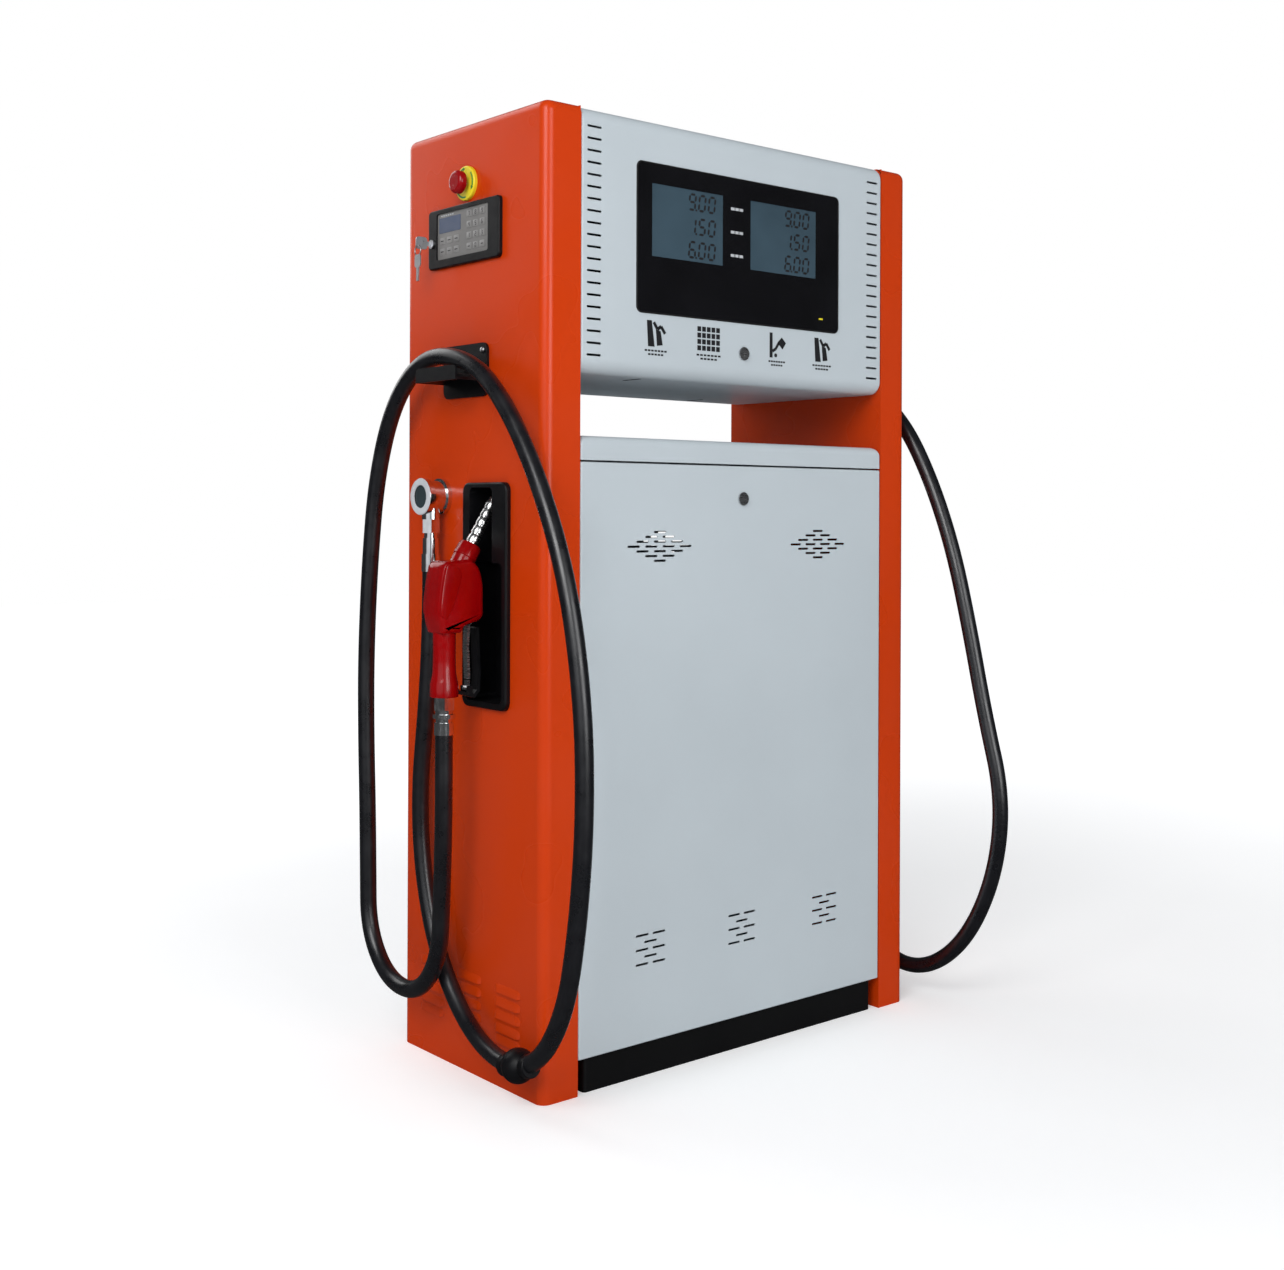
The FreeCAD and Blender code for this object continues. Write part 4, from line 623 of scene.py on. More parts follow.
class DISPENSER_OT_stage(bpy.types.Operator):
    """Lay the pale floor, hang the soft lights and set the camera"""
    bl_idname = "dispenser.stage"
    bl_label = "Floor, lights and camera"

    def execute(self, context):
        self.floor()
        for light in LIGHTS:
            self.light(*light)
        self.sky(context)
        self.camera(context)
        return {"FINISHED"}

    def floor(self):
        """Pale floor that washes out to white with distance and is dim in reflections."""
        tree, shader = material("floor")
        vector = place(tree)
        stops = [(0.3, (0.83, 0.83, 0.83)), (0.7, (0.86, 0.86, 0.86))]
        tree.links.new(ramp(tree, noise(tree, vector, 1.4, 3), stops),
                       shader.inputs["Base Color"])
        constant(shader, Roughness=0.75, Emission_Color=(1, 1, 1, 1))
        away = tree.nodes.new("ShaderNodeVectorMath")
        away.operation = "LENGTH"
        tree.links.new(vector, away.inputs[0])
        rays = tree.nodes.new("ShaderNodeLightPath")
        lift = tree.nodes.new("ShaderNodeMath")
        lift.operation = "MULTIPLY"
        tree.links.new(spread(tree, away.outputs["Value"], 0.30, 0.72, 0.8, 4.5), lift.inputs[0])
        tree.links.new(rays.outputs["Is Camera Ray"], lift.inputs[1])
        tree.links.new(lift.outputs["Value"], shader.inputs["Emission Strength"])
        dim = tree.nodes.new("ShaderNodeBsdfDiffuse")
        dim.inputs["Color"].default_value = (0.08, 0.08, 0.08, 1)
        mixed = tree.nodes.new("ShaderNodeMixShader")
        tree.links.new(rays.outputs["Is Glossy Ray"], mixed.inputs["Fac"])
        tree.links.new(shader.outputs["BSDF"], mixed.inputs[1])
        tree.links.new(dim.outputs["BSDF"], mixed.inputs[2])
        tree.links.new(mixed.outputs["Shader"], tree.nodes["Material Output"].inputs["Surface"])
        shape = bmesh.new()
        bmesh.ops.create_grid(shape, x_segments=40, y_segments=40, size=14)
        mesh = bpy.data.meshes.new("floor")
        shape.to_mesh(mesh)
        shape.free()
        mesh.materials.append(bpy.data.materials["floor"])
        floor = bpy.data.objects.new("floor", mesh)
        bpy.context.scene.collection.objects.link(floor)

    def light(self, name, position, size, power):
        lamp = bpy.data.lights.new(name, "AREA")
        lamp.size = size
        lamp.energy = power
        holder = bpy.data.objects.new(name, lamp)
        holder.location = position
        aim = LIGHT_AIM - Vector(position)
        holder.rotation_euler = aim.to_track_quat("-Z", "Y").to_euler()
        bpy.context.scene.collection.objects.link(holder)

    def sky(self, context):
        """White behind the object, a dim even glow as light, and the panels in reflections."""
        world = context.scene.world or bpy.data.worlds.new("studio")
        context.scene.world = world
        world.use_nodes = True
        tree = world.node_tree
        seen = tree.nodes["Background"]
        seen.inputs["Color"].default_value = (1.0, 1.0, 1.0, 1)
        seen.inputs["Strength"].default_value = 1.0
        rays = tree.nodes.new("ShaderNodeLightPath")
        joined = self.background(tree, ROOM_GLOW)
        for ray, shader in (("Is Glossy Ray", self.softboxes(tree)),
                            ("Is Camera Ray", seen.outputs["Background"])):
            mixed = tree.nodes.new("ShaderNodeMixShader")
            tree.links.new(rays.outputs[ray], mixed.inputs["Fac"])
            tree.links.new(joined, mixed.inputs[1])
            tree.links.new(shader, mixed.inputs[2])
            joined = mixed.outputs["Shader"]
        tree.links.new(joined, tree.nodes["World Output"].inputs["Surface"])
        context.scene.view_settings.view_transform = "Standard"

    def background(self, tree, strength):
        glow = tree.nodes.new("ShaderNodeBackground")
        glow.inputs["Color"].default_value = (0.93, 0.96, 1.0, 1)
        glow.inputs["Strength"].default_value = strength
        return glow.outputs["Background"]

    def softboxes(self, tree):
        """What metal and glass reflect: a dim room with two tall bright panels."""
        coordinates = tree.nodes.new("ShaderNodeTexCoord")
        total = tree.nodes.new("ShaderNodeMath")
        total.operation = "ADD"
        for socket, towards in enumerate(PANELS):
            facing = tree.nodes.new("ShaderNodeVectorMath")
            facing.operation = "DOT_PRODUCT"
            facing.inputs[1].default_value = towards
            tree.links.new(coordinates.outputs["Generated"], facing.inputs[0])
            tree.links.new(spread(tree, facing.outputs["Value"], 0.025, PANEL_GLOW, 0.84, 0.95),
                           total.inputs[socket])
        shader = self.background(tree, 1.0)
        tree.links.new(total.outputs["Value"], shader.node.inputs["Strength"])
        return shader

    def camera(self, context):
        lens = bpy.data.cameras.new("view")
        lens.lens = FOCAL_LENGTH
        lens.sensor_width = 36
        lens.shift_y = VIEW_SHIFT
        holder = bpy.data.objects.new("view", lens)
        holder.location = VIEW_PLACE
        upright = Matrix.Rotation(math.radians(90), 3, "X")
        turn = Matrix.Rotation(VIEW_TURN, 3, "Z") @ upright
        holder.rotation_euler = (turn @ Matrix.Rotation(VIEW_ROLL, 3, "Z")).to_euler()
        context.scene.collection.objects.link(holder)
        context.scene.camera = holder


# ------------------------------------------------------------------ displays
SEGMENTS = {"0": "abcdef", "1": "bc", "2": "abged", "3": "abgcd", "4": "fgbc", "5": "afgcd",
            "6": "afgedc", "7": "abc", "8": "abcdefg", "9": "abcdfg"}
ROW_TEXTS = ("900", "150", "600")
DIGIT_MARGIN = 0.012
CAPTION_MIDDLE = -0.018
CAPTION_DASHES = ((-0.015, -0.006), (-0.004, 0.004), (0.006, 0.015))
DASH_INSET = 0.052
DASH_LOW, DASH_HIGH = 1.3375, 1.3405
WINDOW_CORNER = 0.010
BEAD_RADIUS = 0.0016
# Where each pictogram stands, which one it is and how wide the caption under it is.
PICTOGRAMS = ((-0.208, "lift", 0.052), (-0.084, "keys", 0.060), (0.086, "fill", 0.044),
              (0.206, "lift", 0.052))
PICTOGRAM_BASE = 1.258
# How much of the width each caption row takes, and its number of dashes.
CAPTION_ROWS = ((1.0, 7), (0.7, 5))
# Outlines and strokes of the pictograms, in heights from the middle of their base.
LIFT_HOLDER = ((-0.40, 0), (-0.08, 0), (-0.22, 0.98), (-0.46, 0.98))
LIFT_SPOUT = ((-0.12, 0.92), (0.06, 0.66), (0.24, 0.78), (0.44, 0.52))
LIFT_NOZZLE = ((-0.02, 0.66), (0.22, 0.60), (0.32, 0.08), (0.04, 0.04))
FILL_POST = ((-0.42, 0), (-0.26, 0), (-0.26, 1), (-0.42, 1))
FILL_SPOUT = ((-0.26, 0.26), (-0.08, 0.36), (0.10, 0.62))
FILL_NOZZLE = ((0.02, 0.62), (0.30, 0.36), (0.50, 0.62), (0.26, 0.84))


def bar(start, end, width):
    """Pointed bar between two points of a face, as (x, z) outline points."""
    along = (Vector(end) - Vector(start)).normalized()
    side = Vector((-along.y, along.x)) * (width / 2)
    tip = along * (width / 2)
    start, end = Vector(start), Vector(end)
    return [start, start + tip + side, end - tip + side, end, end - tip - side, start + tip - side]


def segment_outlines(digit, low, height):
    """Outlines of one lit digit whose lower left corner is at low."""
    width = height * 0.52
    thick = height * 0.15
    gap = thick * 0.35
    x0, x1 = low[0], low[0] + width
    z0, z1, z2 = low[1], low[1] + height / 2, low[1] + height
    places = {
        "a": ((x0 + gap, z2), (x1 - gap, z2)), "g": ((x0 + gap, z1), (x1 - gap, z1)),
        "d": ((x0 + gap, z0), (x1 - gap, z0)), "f": ((x0, z1 + gap), (x0, z2 - gap)),
        "b": ((x1, z1 + gap), (x1, z2 - gap)), "e": ((x0, z0 + gap), (x0, z1 - gap)),
        "c": ((x1, z0 + gap), (x1, z1 - gap))}
    return [bar(*places[name], thick) for name in SEGMENTS[digit]]


def add_print(shape, outlines, y, depth=0.0003):
    """Raise flat outlines, given as (x, z), from a front face at y."""
    for outline in outlines:
        add_prism(shape, [Vector((x, y, z)) for x, z in outline], (0, -depth, 0))


def sized(points, x, z, size):
    """Points of a drawing one high, at their size and place."""
    return [Vector((x + across * size, z + up * size)) for across, up in points]


def disc(x, z, radius, sides=20):
    return [Vector((x + radius * math.cos(2 * math.pi * step / sides),
                    z + radius * math.sin(2 * math.pi * step / sides))) for step in range(sides)]


def block(x0, x1, z0, z1):
    return [Vector((x0, z0)), Vector((x1, z0)), Vector((x1, z1)), Vector((x0, z1))]


def stroke(points, width):
    """Straight strokes along a line of points."""
    outlines = []
    for start, end in zip(points, points[1:]):
        along = (Vector(end) - Vector(start)).normalized()
        side = Vector((-along.y, along.x)) * (width / 2)
        outlines.append([Vector(start) + side, Vector(start) - side,
                         Vector(end) - side, Vector(end) + side])
    return outlines


def lcd_spans():
    """Left and right edges of each display, read from the frame."""
    edges = sorted({round(vert.co.x, 4) for vert in NODES["front_display_lcds"].data.vertices})
    return (edges[0], edges[1]), (edges[-2], edges[-1])


class DISPENSER_OT_displays(bpy.types.Operator):
    """Draw the digits, the printed marks and the pictograms of both display doors"""
    bl_idname = "dispenser.displays"
    bl_label = "Displays and printed marks"

    def execute(self, context):
        settings = context.scene.dispenser_display
        for face in ("front", "rear"):
            opposite = face == "rear"
            self.digits(face, opposite, settings)
            self.window_marks(face, opposite)
            self.seal(face, opposite)
            self.pictograms(face, opposite, settings)
        return {"FINISHED"}

    def digits(self, face, opposite, settings):
        low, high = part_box("front_display_lcds")
        height = settings.digit_height
        shape = bmesh.new()
        row_pitch = (high.z - low.z) / 3
        for right_edge in (span[1] for span in lcd_spans()):
            for row, text in enumerate(ROW_TEXTS):
                base = high.z - (row + 1) * row_pitch + (row_pitch - height) / 2
                outlines = self.number(text, right_edge - DIGIT_MARGIN, base, height,
                                       settings.digit_lean)
                add_print(shape, outlines, low.y)
        finished(face + "_display_digits", shape, "print black", face + "_display", opposite, False)

    def number(self, text, right, base, height, lean):
        """Digits right-aligned at right, with a point after the first."""
        pitch = height * 0.86
        outlines = []
        for index, digit in enumerate(text):
            left = right - (len(text) - index) * pitch
            for outline in segment_outlines(digit, (left, base), height):
                outlines.append([Vector((point.x + (point.y - base) * math.tan(lean), point.y))
                                 for point in outline])
        dot_x = right - (len(text) - 1) * pitch - height * 0.2
        outlines.append(disc(dot_x, base, height * 0.075))
        return outlines

    def window_marks(self, face, opposite):
        """Short light bars where the row captions are printed, and one by the lower edge."""
        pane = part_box("front_display_window")
        low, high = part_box("front_display_lcds")
        row_pitch = (high.z - low.z) / 3
        shape = bmesh.new()
        outlines = []
        for row in range(3):
            z = high.z - (row + 0.5) * row_pitch
            outlines += [block(CAPTION_MIDDLE + left, CAPTION_MIDDLE + right, z - 0.0025,
                               z + 0.0025) for left, right in CAPTION_DASHES]
        add_print(shape, outlines, pane[0].y, 0.0002)
        finished(face + "_window_marks", shape, "print grey", face + "_display", opposite, False)
        shape = bmesh.new()
        x = pane[1].x - DASH_INSET
        add_print(shape, [block(x, x + 0.010, DASH_LOW, DASH_HIGH)], pane[0].y, 0.0002)
        finished(face + "_window_dash", shape, "collar yellow", face + "_display", opposite, False)

    def seal(self, face, opposite):
        """Rubber bead between the pane and the door."""
        low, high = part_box("front_display_window")
        corner = WINDOW_CORNER
        west, east = low.x + corner, high.x - corner
        foot, top = low.z + corner, high.z - corner
        path = []
        for x, z, begin in ((east, top, 0), (west, top, 90), (west, foot, 180), (east, foot, 270)):
            for step in range(7):
                angle = math.radians(begin + step * 15)
                path.append(Vector((x + corner * math.cos(angle), FRONT_FACE - 0.0004,
                                    z + corner * math.sin(angle))))
        shape = bmesh.new()
        add_hoop(shape, path, BEAD_RADIUS, (0, 1, 0))
        finished(face + "_window_seal", shape, "seal rubber", face + "_display", opposite)

    def pictograms(self, face, opposite, settings):
        """Four generic working steps: lift, enter, fill and hang up, each over two short bars."""
        size = settings.pictogram_height
        icons = {"lift": self.lift_icon, "keys": self.keys_icon, "fill": self.fill_icon}
        shape = bmesh.new()
        outlines = []
        for x, icon, width in PICTOGRAMS:
            outlines += icons[icon](x, PICTOGRAM_BASE, size)
        for x, icon, width in PICTOGRAMS:
            for row, (share, dashes) in enumerate(CAPTION_ROWS):
                z = PICTOGRAM_BASE - 0.007 - row * 0.0065
                start = x - width * share / 2
                step = width * share / dashes
                outlines += [block(start + index * step, start + (index + 0.72) * step,
                                   z - 0.0016, z + 0.0016) for index in range(dashes)]
        add_print(shape, outlines, FRONT_FACE, 0.0003)
        finished(face + "_pictograms", shape, "print black", face + "_display", opposite, False)

    def lift_icon(self, x, z, size):
        """A holder with a nozzle leaning out of it."""
        return ([sized(LIFT_HOLDER, x, z, size)]
                + stroke(sized(LIFT_SPOUT, x, z, size), 0.13 * size)
                + [sized(LIFT_NOZZLE, x, z, size)])

    def keys_icon(self, x, z, size):
        """Grid of four rows of five keys."""
        outlines = []
        key = size * 0.19
        pitch = size * 0.245
        for column in range(5):
            for row in range(4):
                left = x + (column - 2.5) * pitch
                low = z + 0.02 * size + row * pitch
                outlines.append(block(left, left + key, low, low + key))
        return outlines

    def fill_icon(self, x, z, size):
        """A post with a nozzle coming down to it, and a drop."""
        return ([sized(FILL_POST, x, z, size)]
                + stroke(sized(FILL_SPOUT, x, z, size), 0.12 * size)
                + [sized(FILL_NOZZLE, x, z, size),
                   disc(x - 0.08 * size, z + 0.10 * size, 0.08 * size)])


# ------------------------------------------------------------------ nozzles
NOZZLE_Y = -45
GRIP_OUT = 82
SPOUT_LEAN = math.radians(32)
SPOUT_AXIS = Vector((math.sin(SPOUT_LEAN), 0, math.cos(SPOUT_LEAN)))
SPOUT_ROOT = (30, 915)
LEVER_PIVOT = (36, 786)
SPLIT = 7
PIVOT_RADIUS = 2.5
HEM_CLEARANCE = 0.4
SPOUT_RINGS = 5
RING_PITCH = 16.8
# Section of one spout ring and of the neck: millimetres along the spout, then radius.
RING = ((0, 8.6), (0.6, 10.0), (2.5, 10.7), (12, 10.7), (14.2, 10.0), (14.8, 8.6))
NECK = ((-52, 19), (-26, 19.2), (-24, 20.6), (-3, 19.8), (-0.6, 18.6), (0, 16), (0, 13.1))
# Across the nozzle and inwards: how the cover's and the cheeks' edges are rounded.
COVER_ROUNDING = ((SPLIT, 0), (18, 0), (23, 1.2), (26, 3.5), (27.6, 7), (28, 10))
CHEEK_ROUNDING = ((18, 0), (26.5, 0.2), (28.6, 1.2), (29.2, 3.2))
# Corners of the cover's side view: millimetres out, Z and corner radius.
COVER_TOP_EDGE = ((104, 855, 20), (98, 889, 12), (64, 890, 6), (44, 892, 6), (27, 878, 12),
                  (19, 850, 14))
COVER_BASE_EDGE = ((58, 779, 8), (63, 768, 3), (101, 768, 3), (108, 790, 12), (109, 812, 16))
COVER_SIDE = COVER_TOP_EDGE + ((19, 795, 7), (28, 787, 8)) + COVER_BASE_EDGE
COVER_MIDDLE = COVER_TOP_EDGE + ((19, 799, 0.5), (53, 799, 1), (53, 781, 1)) + COVER_BASE_EDGE
CHEEK = ((95, 887, 8), (72, 880, 5), (65, 869, 5), (67, 857, 8), (82, 812, 6), (96, 790, 10),
         (107, 798, 8), (107.5, 815, 12), (102, 858, 18))


def soften(corners, steps=5):
    """Round the corners of an outline given as (across, up, radius)."""
    points = []
    for index, (across, up, radius) in enumerate(corners):
        here = Vector((across, up))
        before = Vector(corners[index - 1][:2]) - here
        after = Vector(corners[(index + 1) % len(corners)][:2]) - here
        reach = min(radius, before.length * 0.48, after.length * 0.48)
        start = here + before.normalized() * reach
        end = here + after.normalized() * reach
        for step in range(steps + 1):
            share = step / steps
            points.append(start * (1 - share) ** 2 + here * 2 * share * (1 - share)
                          + end * share ** 2)
    return points


def inset(outline, amount):
    """The outline moved inwards along its own normals."""
    count = len(outline)
    area = sum(outline[index - 1].cross(outline[index]) for index in range(count))
    side = 1 if area > 0 else -1
    moved = []
    for index, point in enumerate(outline):
        along = outline[(index + 1) % count] - outline[index - 1]
        moved.append(point + Vector((-along.y, along.x)).normalized() * side * amount)
    return moved


def add_slices(shape, corners, slices):
    """Skin over one side view repeated at each (y, inset)."""
    outline = soften(corners)
    add_loft(shape, [[on_end(point.x, NOZZLE_Y + y, point.y) for point in inset(outline, amount)]
                     for y, amount in slices])


def spout_place(along):
    """Point on the spout's axis, in metres, counted from its root."""
    out, z = SPOUT_ROOT
    return on_end(out - along * math.sin(SPOUT_LEAN), NOZZLE_Y, z + along * math.cos(SPOUT_LEAN))


class DISPENSER_OT_nozzles(bpy.types.Operator):
    """Build the moulded cover with its grip, and the ringed spout, of both nozzles"""
    bl_idname = "dispenser.nozzles"
    bl_label = "Nozzles"

    def execute(self, context):
        for end in ("left", "right"):
            opposite = end == "right"
            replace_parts(self.cover(end, opposite), end + "_nozzle_cover")
            self.spout(end, opposite)
        return {"FINISHED"}

    def cover(self, end, opposite):
        """Split cover with its cheeks, the grip, the neck and the lever's pin."""
        shape = bmesh.new()
        for side in (-1, 1):
            add_slices(shape, COVER_SIDE, [(side * y, amount) for y, amount in COVER_ROUNDING])
            add_slices(shape, CHEEK, [(side * y, amount) for y, amount in CHEEK_ROUNDING])
        add_slices(shape, COVER_MIDDLE, [(-SPLIT, 0), (SPLIT, 0)])
        hem = self.hem_radius(end, opposite)
        grip = ((660.6, hem - 1), (661.6, hem), (682, hem), (688, hem - 1.4), (700, 20),
                (720, 19.2), (750, 19.2), (775, 19.5), (800, 19.5))
        add_turning(shape, on_end(GRIP_OUT, NOZZLE_Y, 0), UP, in_metres(grip))
        add_turning(shape, spout_place(0), SPOUT_AXIS, in_metres(NECK))
        pivot = on_end(LEVER_PIVOT[0], NOZZLE_Y - SPLIT, LEVER_PIVOT[1])
        pin = ((0, PIVOT_RADIUS), (2 * SPLIT, PIVOT_RADIUS))
        add_turning(shape, pivot, (0, 1, 0), in_metres(pin), 16)
        return finished(end + "_cover_shell", shape, "nozzle red", end + "_nozzle", opposite)

    def hem_radius(self, end, opposite):
        """Radius at the grip's foot, in millimetres, that just covers the guard's clamp ring."""
        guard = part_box(end + "_nozzle_guard")
        outermost = guard[1].x if opposite else -guard[0].x
        return (outermost + LEFT_FACE) / MM - GRIP_OUT + HEM_CLEARANCE

    def spout(self, end, opposite):
        """Polished rings pressed over the spout."""
        profile = [(4 + ring * RING_PITCH + along, radius)
                   for ring in range(SPOUT_RINGS) for along, radius in RING]
        shape = bmesh.new()
        add_turning(shape, spout_place(0), SPOUT_AXIS, in_metres(profile), 40, False)
        finished(end + "_spout_rings", shape, "bright spout", end + "_nozzle", opposite)


# ------------------------------------------------------------------ end fittings
PANEL_OUT = 5
KEY_ROWS = (1489, 1470, 1451, 1432)
DIGIT_COLUMNS = (0, -20, -40)
DIGIT_KEYS = (("7", "8", "9"), ("4", "5", "6"), ("1", "2", "3"), ("", "0", ""))
PLAIN_KEYS = ((84, 1451), (62, 1451), (40, 1451), (84, 1432), (62, 1432), (40, 1432))
KEY_HALF = (7.5, 6)
SMALL_DISPLAY = (27, 95, 1465, 1492, 2)
STOP_PLACE = (13, 1543)
STOP_OUT = 7
STOP_ARROWS = (20, 140, 260)
GLASS_PLACE = (90, 998)
# Sections of the sight glass's lip and gasket and of a screw: millimetres out, then radius.
GLASS_LIP = ((45.4, 20.0), (46.9, 21.0), (47.3, 23), (47.3, 28.6), (46.7, 31.4), (45.0, 32.5))
GLASS_GASKET = ((38, 24.4), (45.4, 24.4), (45.4, 20.2), (38, 20.2))
SCREW = ((5, 5.2), (6.2, 5.2), (7.6, 4.2), (8.2, 2.2), (8.2, 0))
SCREW_COLUMNS = (-42, 67)
SCREW_HEIGHT = 1249
KEY_RING_PLACE = (38, 114, 1435)
KEY_RING_RADIUS = 9.4
KEY_RING_WIRE = 1.1
LOUVRE_ROWS = (163, 141, 119, 97, 78)
LOUVRE_COLUMNS = (-116, -1, 116)
LOUVRE_LENGTH = 66
# Section of a louvre hood: millimetres out and up from the middle of its slot.
HOOD = ((-0.6, 12), (0.8, 10), (2.4, 6), (3.8, 1.5), (4.6, -3), (3.6, -3.2), (2.9, 1), (1.6, 5),
        (0.2, 8), (-0.6, 9))


def end_print(shape, outlines, out, depth):
    """Raise flat (y, z) outlines from an end face."""
    for outline in outlines:
        add_prism(shape, [on_end(out, point[0], point[1]) for point in outline],
                  (-depth * MM, 0, 0))


def mirrored(outline, y):
    """Outline drawn rightwards, laid on the end face about y."""
    return [(y - point[0], point[1]) for point in outline]


def ring_band(y, z, inner, outer, start, end, steps=14):
    """Part of a flat ring as one outline; angles in degrees."""
    angles = [math.radians(start + (end - start) * step / steps) for step in range(steps + 1)]
    rim = [(y + outer * math.cos(angle), z + outer * math.sin(angle)) for angle in angles]
    hole = [(y + inner * math.cos(angle), z + inner * math.sin(angle)) for angle in angles]
    return rim + hole[::-1]


def soften_box(y0, y1, z0, z1, radius):
    """Outline of a rectangle with rounded corners."""
    return soften(((y0, z0, radius), (y1, z0, radius), (y1, z1, radius), (y0, z1, radius)), 3)


class DISPENSER_OT_keypads(bpy.types.Operator):
    """Build the small display and the keys of both keypads"""
    bl_idname = "dispenser.keypads"
    bl_label = "Keypads"

    def execute(self, context):
        for end in ("left", "right"):
            opposite = end == "right"
            shape = bmesh.new()
            end_print(shape, [soften_box(*SMALL_DISPLAY)], PANEL_OUT, 0.5)
            finished(end + "_keypad_display", shape, "small display", "root", opposite, False)
            self.keys(end, opposite)
            self.marks(end, opposite)
        return {"FINISHED"}

    def keys(self, end, opposite):
        """Domed keys, four rows of digits and two of plain ones."""
        shape = bmesh.new()
        places = [(y, z) for z in KEY_ROWS for y in DIGIT_COLUMNS] + list(PLAIN_KEYS)
        wide, tall = KEY_HALF
        for y, z in places:
            outline = soften_box(y - wide, y + wide, z - tall, z + tall, 2)
            add_loft(shape, [[on_end(PANEL_OUT + rise, point.x, point.y)
                              for point in inset(outline, amount)]
                             for rise, amount in ((-0.3, 0), (0.6, 0), (1.0, 0.7))])
        finished(end + "_keypad_keys", shape, "key pad", "root", opposite)

    def marks(self, end, opposite):
        """Digits or short bars on the keys, and a broken bar over the display."""
        shape = bmesh.new()
        outlines = []
        for z, row in zip(KEY_ROWS, DIGIT_KEYS):
            for y, digit in zip(DIGIT_COLUMNS, row):
                if digit:
                    outlines += [mirrored(outline, y)
                                 for outline in segment_outlines(digit, (-1.8, z - 3.5), 7)]
                else:
                    outlines.append(block(y - 3, y + 3, z - 0.8, z + 0.8))
        for y, z in PLAIN_KEYS:
            outlines.append(block(y - 4.5, y + 4.5, z - 0.8, z + 0.8))
        end_print(shape, outlines, PANEL_OUT + 1.0, 0.15)
        finished(end + "_keypad_marks", shape, "print black", "root", opposite, False)
        shape = bmesh.new()
        end_print(shape, [block(50 + step * 7, 54 + step * 7, 1494.5, 1496.5) for step in range(6)],
                  PANEL_OUT, 0.15)
        finished(end + "_keypad_caption", shape, "print grey", "root", opposite, False)


class DISPENSER_OT_louvres(bpy.types.Operator):
    """Raise a pressed hood over every louvre slot of both pillars"""
    bl_idname = "dispenser.louvres"
    bl_label = "Louvre hoods"

    def execute(self, context):
        for end in ("left", "right"):
            shape = bmesh.new()
            for z in LOUVRE_ROWS:
                for y in LOUVRE_COLUMNS:
                    self.hood(shape, y, z)
            finished(end + "_louvre_hoods", shape, "pillar orange", "root", end == "right")
        return {"FINISHED"}

    def hood(self, shape, y, z):
        """One hood, fading into the sheet towards both ends."""
        half = LOUVRE_LENGTH / 2 + 4
        loops = []
        for step in range(17):
            share = -1 + step / 8
            fade = math.sqrt(max(1 - max((abs(share) - 0.72) / 0.28, 0) ** 2, 0.004))
            loops.append([on_end(out * fade, y + share * half, z + up * (0.55 + 0.45 * fade))
                          for out, up in HOOD])
        add_loft(shape, loops)


class DISPENSER_OT_end_trim(bpy.types.Operator):
    """Build the stop buttons' marks, sight-glass rings, hook screws and key rings"""
    bl_idname = "dispenser.end_trim"
    bl_label = "End trim"

    def execute(self, context):
        for end in ("left", "right"):
            opposite = end == "right"
            self.stop_marks(end, opposite)
            self.glass_rings(end, opposite)
            self.screws(end, opposite)
            self.key_ring(end, opposite)
        return {"FINISHED"}

    def stop_marks(self, end, opposite):
        """Three curved arrows on the collar."""
        y, z = STOP_PLACE
        shape = bmesh.new()
        outlines = []
        for start in STOP_ARROWS:
            outlines.append(ring_band(y, z, 23.2, 26.4, start, start + 62))
            tip = math.radians(start + 76)
            root = math.radians(start + 60)
            outlines.append([(y + 21 * math.cos(root), z + 21 * math.sin(root)),
                             (y + 28.4 * math.cos(root), z + 28.4 * math.sin(root)),
                             (y + 24.8 * math.cos(tip), z + 24.8 * math.sin(tip))])
        end_print(shape, outlines, STOP_OUT, 0.2)
        finished(end + "_stop_marks", shape, "print green", "root", opposite, False)

    def glass_rings(self, end, opposite):
        """Turned lip and dark gasket inside the sight glass."""
        y, z = GLASS_PLACE
        for name, profile, finish in (("lip", GLASS_LIP, "print grey"),
                                      ("gasket", GLASS_GASKET, "seal rubber")):
            shape = bmesh.new()
            add_turning(shape, on_end(0, y, z), (-1, 0, 0), in_metres(profile), 56, False)
            finished(end + "_glass_" + name, shape, finish, "root", opposite)

    def screws(self, end, opposite):
        """Domed screws that hold the hook plate."""
        shape = bmesh.new()
        for y in SCREW_COLUMNS:
            add_turning(shape, on_end(0, y, SCREW_HEIGHT), (-1, 0, 0), in_metres(SCREW), 20)
        finished(end + "_hook_screws", shape, "zinc plate", "root", opposite)

    def key_ring(self, end, opposite):
        """Split ring that joins the lock's key and its spare."""
        path = circle(on_end(*KEY_RING_PLACE), (1, 0, 0), KEY_RING_RADIUS * MM, 40)
        shape = bmesh.new()
        add_hoop(shape, path, KEY_RING_WIRE * MM, (1, 0, 0))
        finished(end + "_split_ring", shape, "zinc plate", end + "_keypad_key", opposite)


# ------------------------------------------------------------------ head trim
HINGE_PLACES = (-217, 217)
HINGE_AXIS = (-176, 1650)
SEAM_PLACE = -213
# Dark discs along each hinge: painted shade at the knuckle ends, not real washers.
SHADE_DISC_COUNT = 5
SHADE_DISC_PITCH = 11
SHADE_DISC = ((0, 4.9), (4, 4.9))


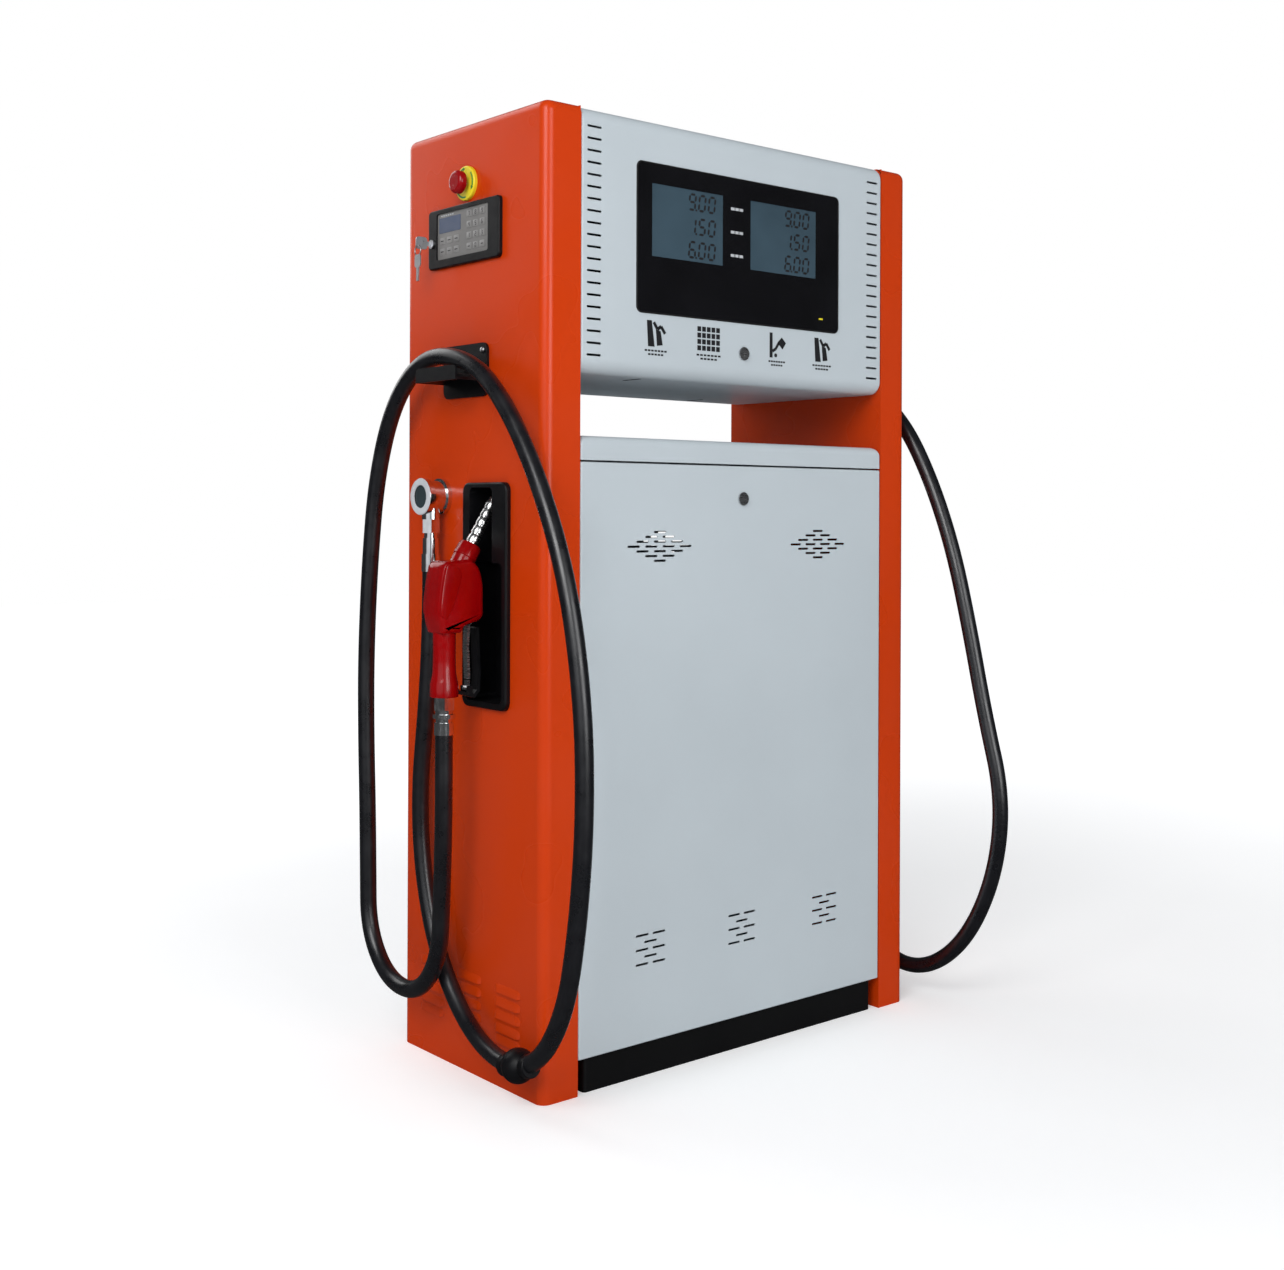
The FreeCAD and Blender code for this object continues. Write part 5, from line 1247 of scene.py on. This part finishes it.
class DISPENSER_OT_head_trim(bpy.types.Operator):
    """Build dark discs of painted shade between the hinge knuckles on top of the head, and the dark
    seam under it
    """
    bl_idname = "dispenser.head_trim"
    bl_label = "Head trim"

    def execute(self, context):
        for face in ("front", "rear"):
            opposite = face == "rear"
            y, z = HINGE_AXIS
            shape = bmesh.new()
            # Near-black discs of painted shade between the hinge knuckles.
            for x in HINGE_PLACES:
                for step in range(SHADE_DISC_COUNT):
                    base = Vector((x - 24 + step * SHADE_DISC_PITCH, y, z)) * MM
                    add_turning(shape, base, (1, 0, 0), in_metres(SHADE_DISC), 24)
            finished(face + "_hinge_washers", shape, "seal rubber", "root", opposite)
            self.seam(face, opposite)
        return {"FINISHED"}

    def seam(self, face, opposite):
        """Gasket strip that shows where the door closes under the case."""
        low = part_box("front_display_door")[0]
        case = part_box("head_case")[0]
        shape = bmesh.new()
        add_box(shape, (SEAM_PLACE * MM, low.y + 0.040, case.z - 0.0006),
                (SEAM_PLACE * MM + 0.005, low.y + 0.085, case.z + 0.0006))
        finished(face + "_under_seam", shape, "seal rubber", "root", opposite, False)


# ------------------------------------------------------------------ add-on
PIECES = (DISPENSER_OT_casings, DISPENSER_OT_hoses, DISPENSER_OT_displays,
          DISPENSER_OT_nozzles, DISPENSER_OT_keypads, DISPENSER_OT_louvres,
          DISPENSER_OT_end_trim, DISPENSER_OT_head_trim)


class DISPENSER_PT_panel(bpy.types.Panel):
    """Sizes, colours and the pieces in the order they are built"""
    bl_idname = "DISPENSER_PT_panel"
    bl_label = "Fuel dispenser"
    bl_space_type = "VIEW_3D"
    bl_region_type = "UI"
    bl_category = "Dispenser"

    def draw(self, context):
        scene = context.scene
        for settings in (scene.dispenser_finish, scene.dispenser_hose, scene.dispenser_display):
            box = self.layout.box()
            for name in settings.__annotations__:
                box.prop(settings, name)
        column = self.layout.column(align=True)
        for piece in PIECES + (DISPENSER_OT_stage,):
            column.operator(piece.bl_idname)


CLASSES = SETTINGS + PIECES + (DISPENSER_OT_stage, DISPENSER_PT_panel)


def register():
    for added in CLASSES:
        bpy.utils.register_class(added)
    bpy.types.Scene.dispenser_finish = PointerProperty(type=FinishSettings)
    bpy.types.Scene.dispenser_hose = PointerProperty(type=HoseSettings)
    bpy.types.Scene.dispenser_display = PointerProperty(type=DisplaySettings)


def unregister():
    del bpy.types.Scene.dispenser_display
    del bpy.types.Scene.dispenser_hose
    del bpy.types.Scene.dispenser_finish
    for added in reversed(CLASSES):
        bpy.utils.unregister_class(added)


def main():
    register()
    bpy.ops.dispenser.stage()
    bpy.ops.dispenser.casings()
    bpy.ops.dispenser.hoses()
    bpy.ops.dispenser.displays()
    bpy.ops.dispenser.nozzles()
    bpy.ops.dispenser.keypads()
    bpy.ops.dispenser.louvres()
    bpy.ops.dispenser.end_trim()
    bpy.ops.dispenser.head_trim()


if __name__ == "__main__":
    main()
